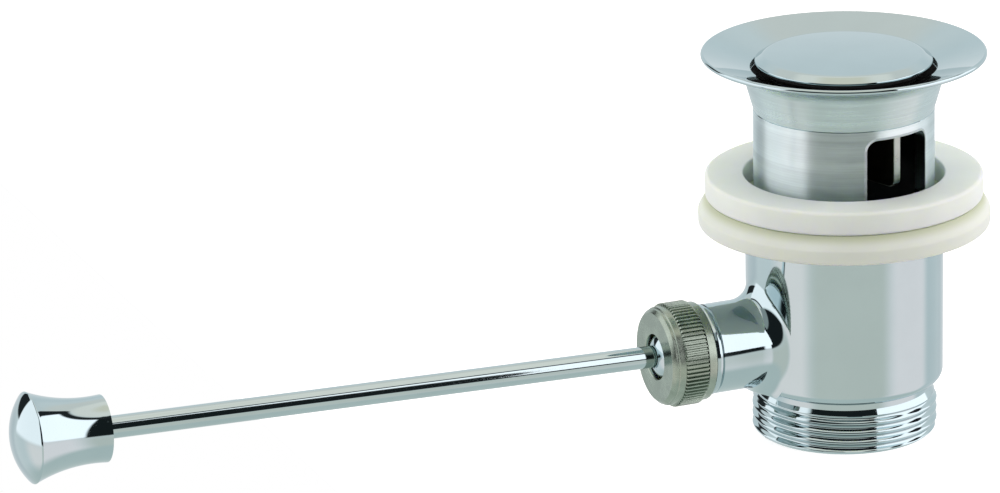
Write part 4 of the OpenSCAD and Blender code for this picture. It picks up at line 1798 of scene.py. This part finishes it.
@dataclass
class Studio:
    """The pale floor, the surroundings that the metal mirrors, the lamps and the camera."""

    backdrop: Color = (1.0, 1.0, 1.0)
    panels: tuple[Panel, ...] = (
        # Walls behind, pale below and warm above
        Panel((-190.0, -168.0), (-4.0, 28.0), (0.86, 0.91, 0.93), 16.0),
        Panel((116.0, 190.0), (-4.0, 28.0), (0.86, 0.91, 0.93), 16.0),
        Panel((-190.0, -150.0), (40.0, 60.0), (1.07, 0.99, 0.93), 10.0),
        Panel((100.0, 190.0), (40.0, 60.0), (1.07, 0.99, 0.93), 10.0),
        # Ceiling, warmer overhead
        Panel((-190.0, 190.0), (57.0, 95.0), (1.30, 1.17, 1.07), 8.0),
        Panel((-190.0, 190.0), (72.0, 95.0), (1.16, 1.02, 0.84), 10.0),
        # Floor behind, left, in front, right and straight below
        Panel((-190.0, -150.0), (-95.0, -2.0), (0.80, 0.83, 0.85), 14.0),
        Panel((112.0, 190.0), (-95.0, -2.0), (0.80, 0.83, 0.85), 14.0),
        Panel((-112.0, -66.0), (-95.0, -6.0), (1.33, 1.16, 1.13), 24.0),
        Panel((-66.0, 30.0), (-95.0, -5.0), (0.90, 0.87, 0.80), 24.0),
        Panel((30.0, 85.0), (-95.0, 0.0), (1.36, 1.17, 1.17), 24.0),
        Panel((85.0, 116.0), (-95.0, 0.0), (0.87, 0.89, 0.90), 14.0),
        Panel((-190.0, 190.0), (-95.0, -40.0), (0.78, 0.82, 0.79), 16.0),
        # Dark front, grey at its top
        Panel((-72.0, 27.0), (36.0, 57.0), (0.40, 0.43, 0.42), 5.0),
        Panel((-72.0, 27.0), (-5.0, 38.0), BLACK_CLOTH, 4.0),
        Panel((12.0, 27.0), (30.0, 57.0), BLACK_CLOTH, 4.0),
        # Softbox on the right and its frame
        Panel((27.0, 103.0), (-3.0, 50.0), RIGHT_SOFTBOX, 4.0),
        Panel((16.0, 104.0), (49.0, 56.0), DARK_FRAME, 3.0),
        Panel((91.0, 105.5), (31.0, 54.0), DARK_FRAME, 3.0),
        # Softbox on the left and its frame
        Panel((-143.0, -76.0), (-9.0, 46.0), (1.70, 1.60, 1.62), 6.0),
        Panel((-168.0, -141.0), (1.0, 25.0), DARK_FRAME, 3.0),
        Panel((-143.0, -72.0), (45.0, 50.0), DARK_FRAME, 3.0),
    )
    right_card: Card = Card(
        ((0.217, -0.78, 0.0), (0.62, -0.55, 0.0), (0.60, -0.25, 0.62), (0.24, -0.55, 0.62)),
        RIGHT_SOFTBOX,
    )
    floor_size: float = 4.0
    floor_edge: float = -120.0 * MM
    floor_shade: float = 0.62
    floor_glow: float = 0.74
    lamps: tuple[Lamp, ...] = (
        Lamp("overhead_lamp", (0.1, 0.1, 1.3), 1.0, 2.0),
        Lamp("left_lamp", (-1.2, 0.1, 0.55), 0.8, 1.5),
    )
    lamp_aim: tuple[float, float, float] = (-0.05, 0.0, -0.04)
    camera_place: tuple[float, float, float] = (-0.517098, -1.083097, 0.354920)
    camera_aim: tuple[float, float, float] = (-0.0940093, -0.0258695, -0.0235850)
    camera_roll: float = math.radians(-1.313)
    camera_lens: float = 201.32
    camera_sensor: float = 36.0
    camera_clip: tuple[float, float] = (0.05, 20.0)

    def build(self) -> None:
        """Sets up the whole studio."""
        self.build_world()
        self.build_floor()
        self.build_card()
        for lamp in self.lamps:
            self.hang(lamp)
        self.build_camera()
        bpy.context.scene.view_settings.view_transform = "Standard"

    def build_world(self) -> None:
        """White behind the object, and soft surroundings for its light and its reflections."""
        world = bpy.data.worlds.new("studio")
        world.use_nodes = True
        bpy.context.scene.world = world
        graph = Graph(world.node_tree)
        rays = graph.node("ShaderNodeLightPath", {}, {}).outputs
        straight = Value(graph, rays["Is Camera Ray"]) + Value(graph, rays["Is Transmission Ray"])
        color = self.surroundings(graph, 1.0 - straight)
        light = graph.node("ShaderNodeBackground", {}, {"Color": color, "Strength": 1.0})
        graph.node("ShaderNodeOutputWorld", {}, {"Surface": light.outputs[0]})

    def surroundings(self, graph: Graph, shown: Value) -> bpy.types.NodeSocket:
        """The colour of the surroundings in each direction: a white backdrop and its panels.

        Args:
            graph: The world's graph.
            shown: 1 for a ray that sees the panels, 0 for one that sees the backdrop alone.

        Returns:
            The colour.
        """
        direction = graph.node("ShaderNodeTexCoord", {}, {}).outputs["Generated"]
        x, y, z = graph.axes(direction)
        azimuth = x.math("ARCTAN2", y * -1.0) * math.degrees(1.0)
        elevation = z.math("ARCSINE") * math.degrees(1.0)
        color: Feed = self.backdrop
        for panel in self.panels:
            mask = shown * self.within(azimuth, panel.azimuth, panel.blur)
            mask = mask * self.within(elevation, panel.elevation, panel.blur)
            color = graph.mix(mask, color, panel.color)
        return color

    @staticmethod
    def within(angle: Value, span: tuple[float, float], blur: float) -> Value:
        """1 inside a span of angles and 0 outside it, with a soft edge."""
        rise = angle.ramp(span[0] - blur / 2, span[0] + blur / 2)
        fall = angle.ramp(span[1] - blur / 2, span[1] + blur / 2, 1.0, 0.0)
        return rise * fall

    def build_floor(self) -> None:
        """A pale floor, white to the camera, that ends short of the knob so the lever can dip."""
        middle = (self.floor_edge + self.floor_size / 2, 0.0, CAD_BOX[0].z)
        Bench.put_down()
        bpy.ops.mesh.primitive_plane_add(size=self.floor_size, location=middle)
        floor = bpy.context.object
        floor.name = "pale_floor"
        Bench.close(floor)
        material, graph = fresh_material("pale_floor")
        color = (self.floor_shade, self.floor_shade, self.floor_shade, 1.0)
        matt = graph.node("ShaderNodeBsdfDiffuse", {}, {"Color": color})
        rays = graph.node("ShaderNodeLightPath", {}, {})
        strength = Value(graph, rays.outputs["Is Camera Ray"]) * self.floor_glow
        glow = graph.node("ShaderNodeEmission", {}, {"Strength": strength})
        both = graph.node("ShaderNodeAddShader", {}, {0: matt.outputs[0], 1: glow.outputs[0]})
        below = graph.node("ShaderNodeNewGeometry", {}, {}).outputs["Backfacing"]
        clear = graph.node("ShaderNodeBsdfTransparent", {}, {})
        seen = graph.node(
            "ShaderNodeMixShader", {}, {0: below, 1: both.outputs[0], 2: clear.outputs[0]}
        )
        graph.node("ShaderNodeOutputMaterial", {}, {"Surface": seen.outputs[0]})
        floor.data.materials.append(material)
        floor.visible_glossy = False

    def build_card(self) -> None:
        """Stands the glowing card up; only reflections and soft light see it."""
        Bench.put_down()
        bpy.ops.mesh.primitive_plane_add(size=1.0)
        card = bpy.context.object
        card.name = "right_card"
        order = (0, 1, 3, 2)
        for vertex, corner in zip(card.data.vertices, order):
            vertex.co = self.right_card.corners[corner]
        material, graph = fresh_material("glowing_card")
        glow = graph.node("ShaderNodeEmission", {}, {"Color": (*self.right_card.color, 1.0)})
        graph.node("ShaderNodeOutputMaterial", {}, {"Surface": glow.outputs[0]})
        card.data.materials.append(material)
        card.visible_camera = False
        card.visible_transmission = False
        card.visible_shadow = False

    def hang(self, lamp: Lamp) -> None:
        """Hangs up a lamp and turns it to the object.

        Args:
            lamp: The lamp.
        """
        light = bpy.data.lights.new(lamp.name, "AREA")
        light.energy = lamp.power
        light.size = lamp.size
        hung = bpy.data.objects.new(lamp.name, light)
        hung.location = lamp.place
        aim = Vector(self.lamp_aim) - Vector(lamp.place)
        hung.rotation_euler = aim.to_track_quat("-Z", "Y").to_euler()
        hung.visible_glossy = False
        bpy.context.scene.collection.objects.link(hung)

    def build_camera(self) -> None:
        """The camera at the photograph's viewing angle."""
        lens = bpy.data.cameras.new("camera")
        lens.lens = self.camera_lens
        lens.sensor_width = self.camera_sensor
        lens.clip_start, lens.clip_end = self.camera_clip
        camera = bpy.data.objects.new("camera", lens)
        place = Vector(self.camera_place)
        look = (Vector(self.camera_aim) - place).to_track_quat("-Z", "Y")
        roll = Quaternion((0.0, 0.0, 1.0), self.camera_roll)
        camera.matrix_world = Matrix.Translation(place) @ (look @ roll).to_matrix().to_4x4()
        bpy.context.scene.collection.objects.link(camera)
        bpy.context.scene.camera = camera


def main() -> None:
    """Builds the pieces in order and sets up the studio."""
    logging.basicConfig(level=logging.INFO, format="%(name)s: %(message)s")
    flange = Flange()
    flange.dress(flange.build())
    Plug().build()
    Washers().build()
    body = CastBody()
    body.dress(body.build())
    BallJoint().build()
    Lever().build()
    Studio().build()


if __name__ == "__main__":
    main()
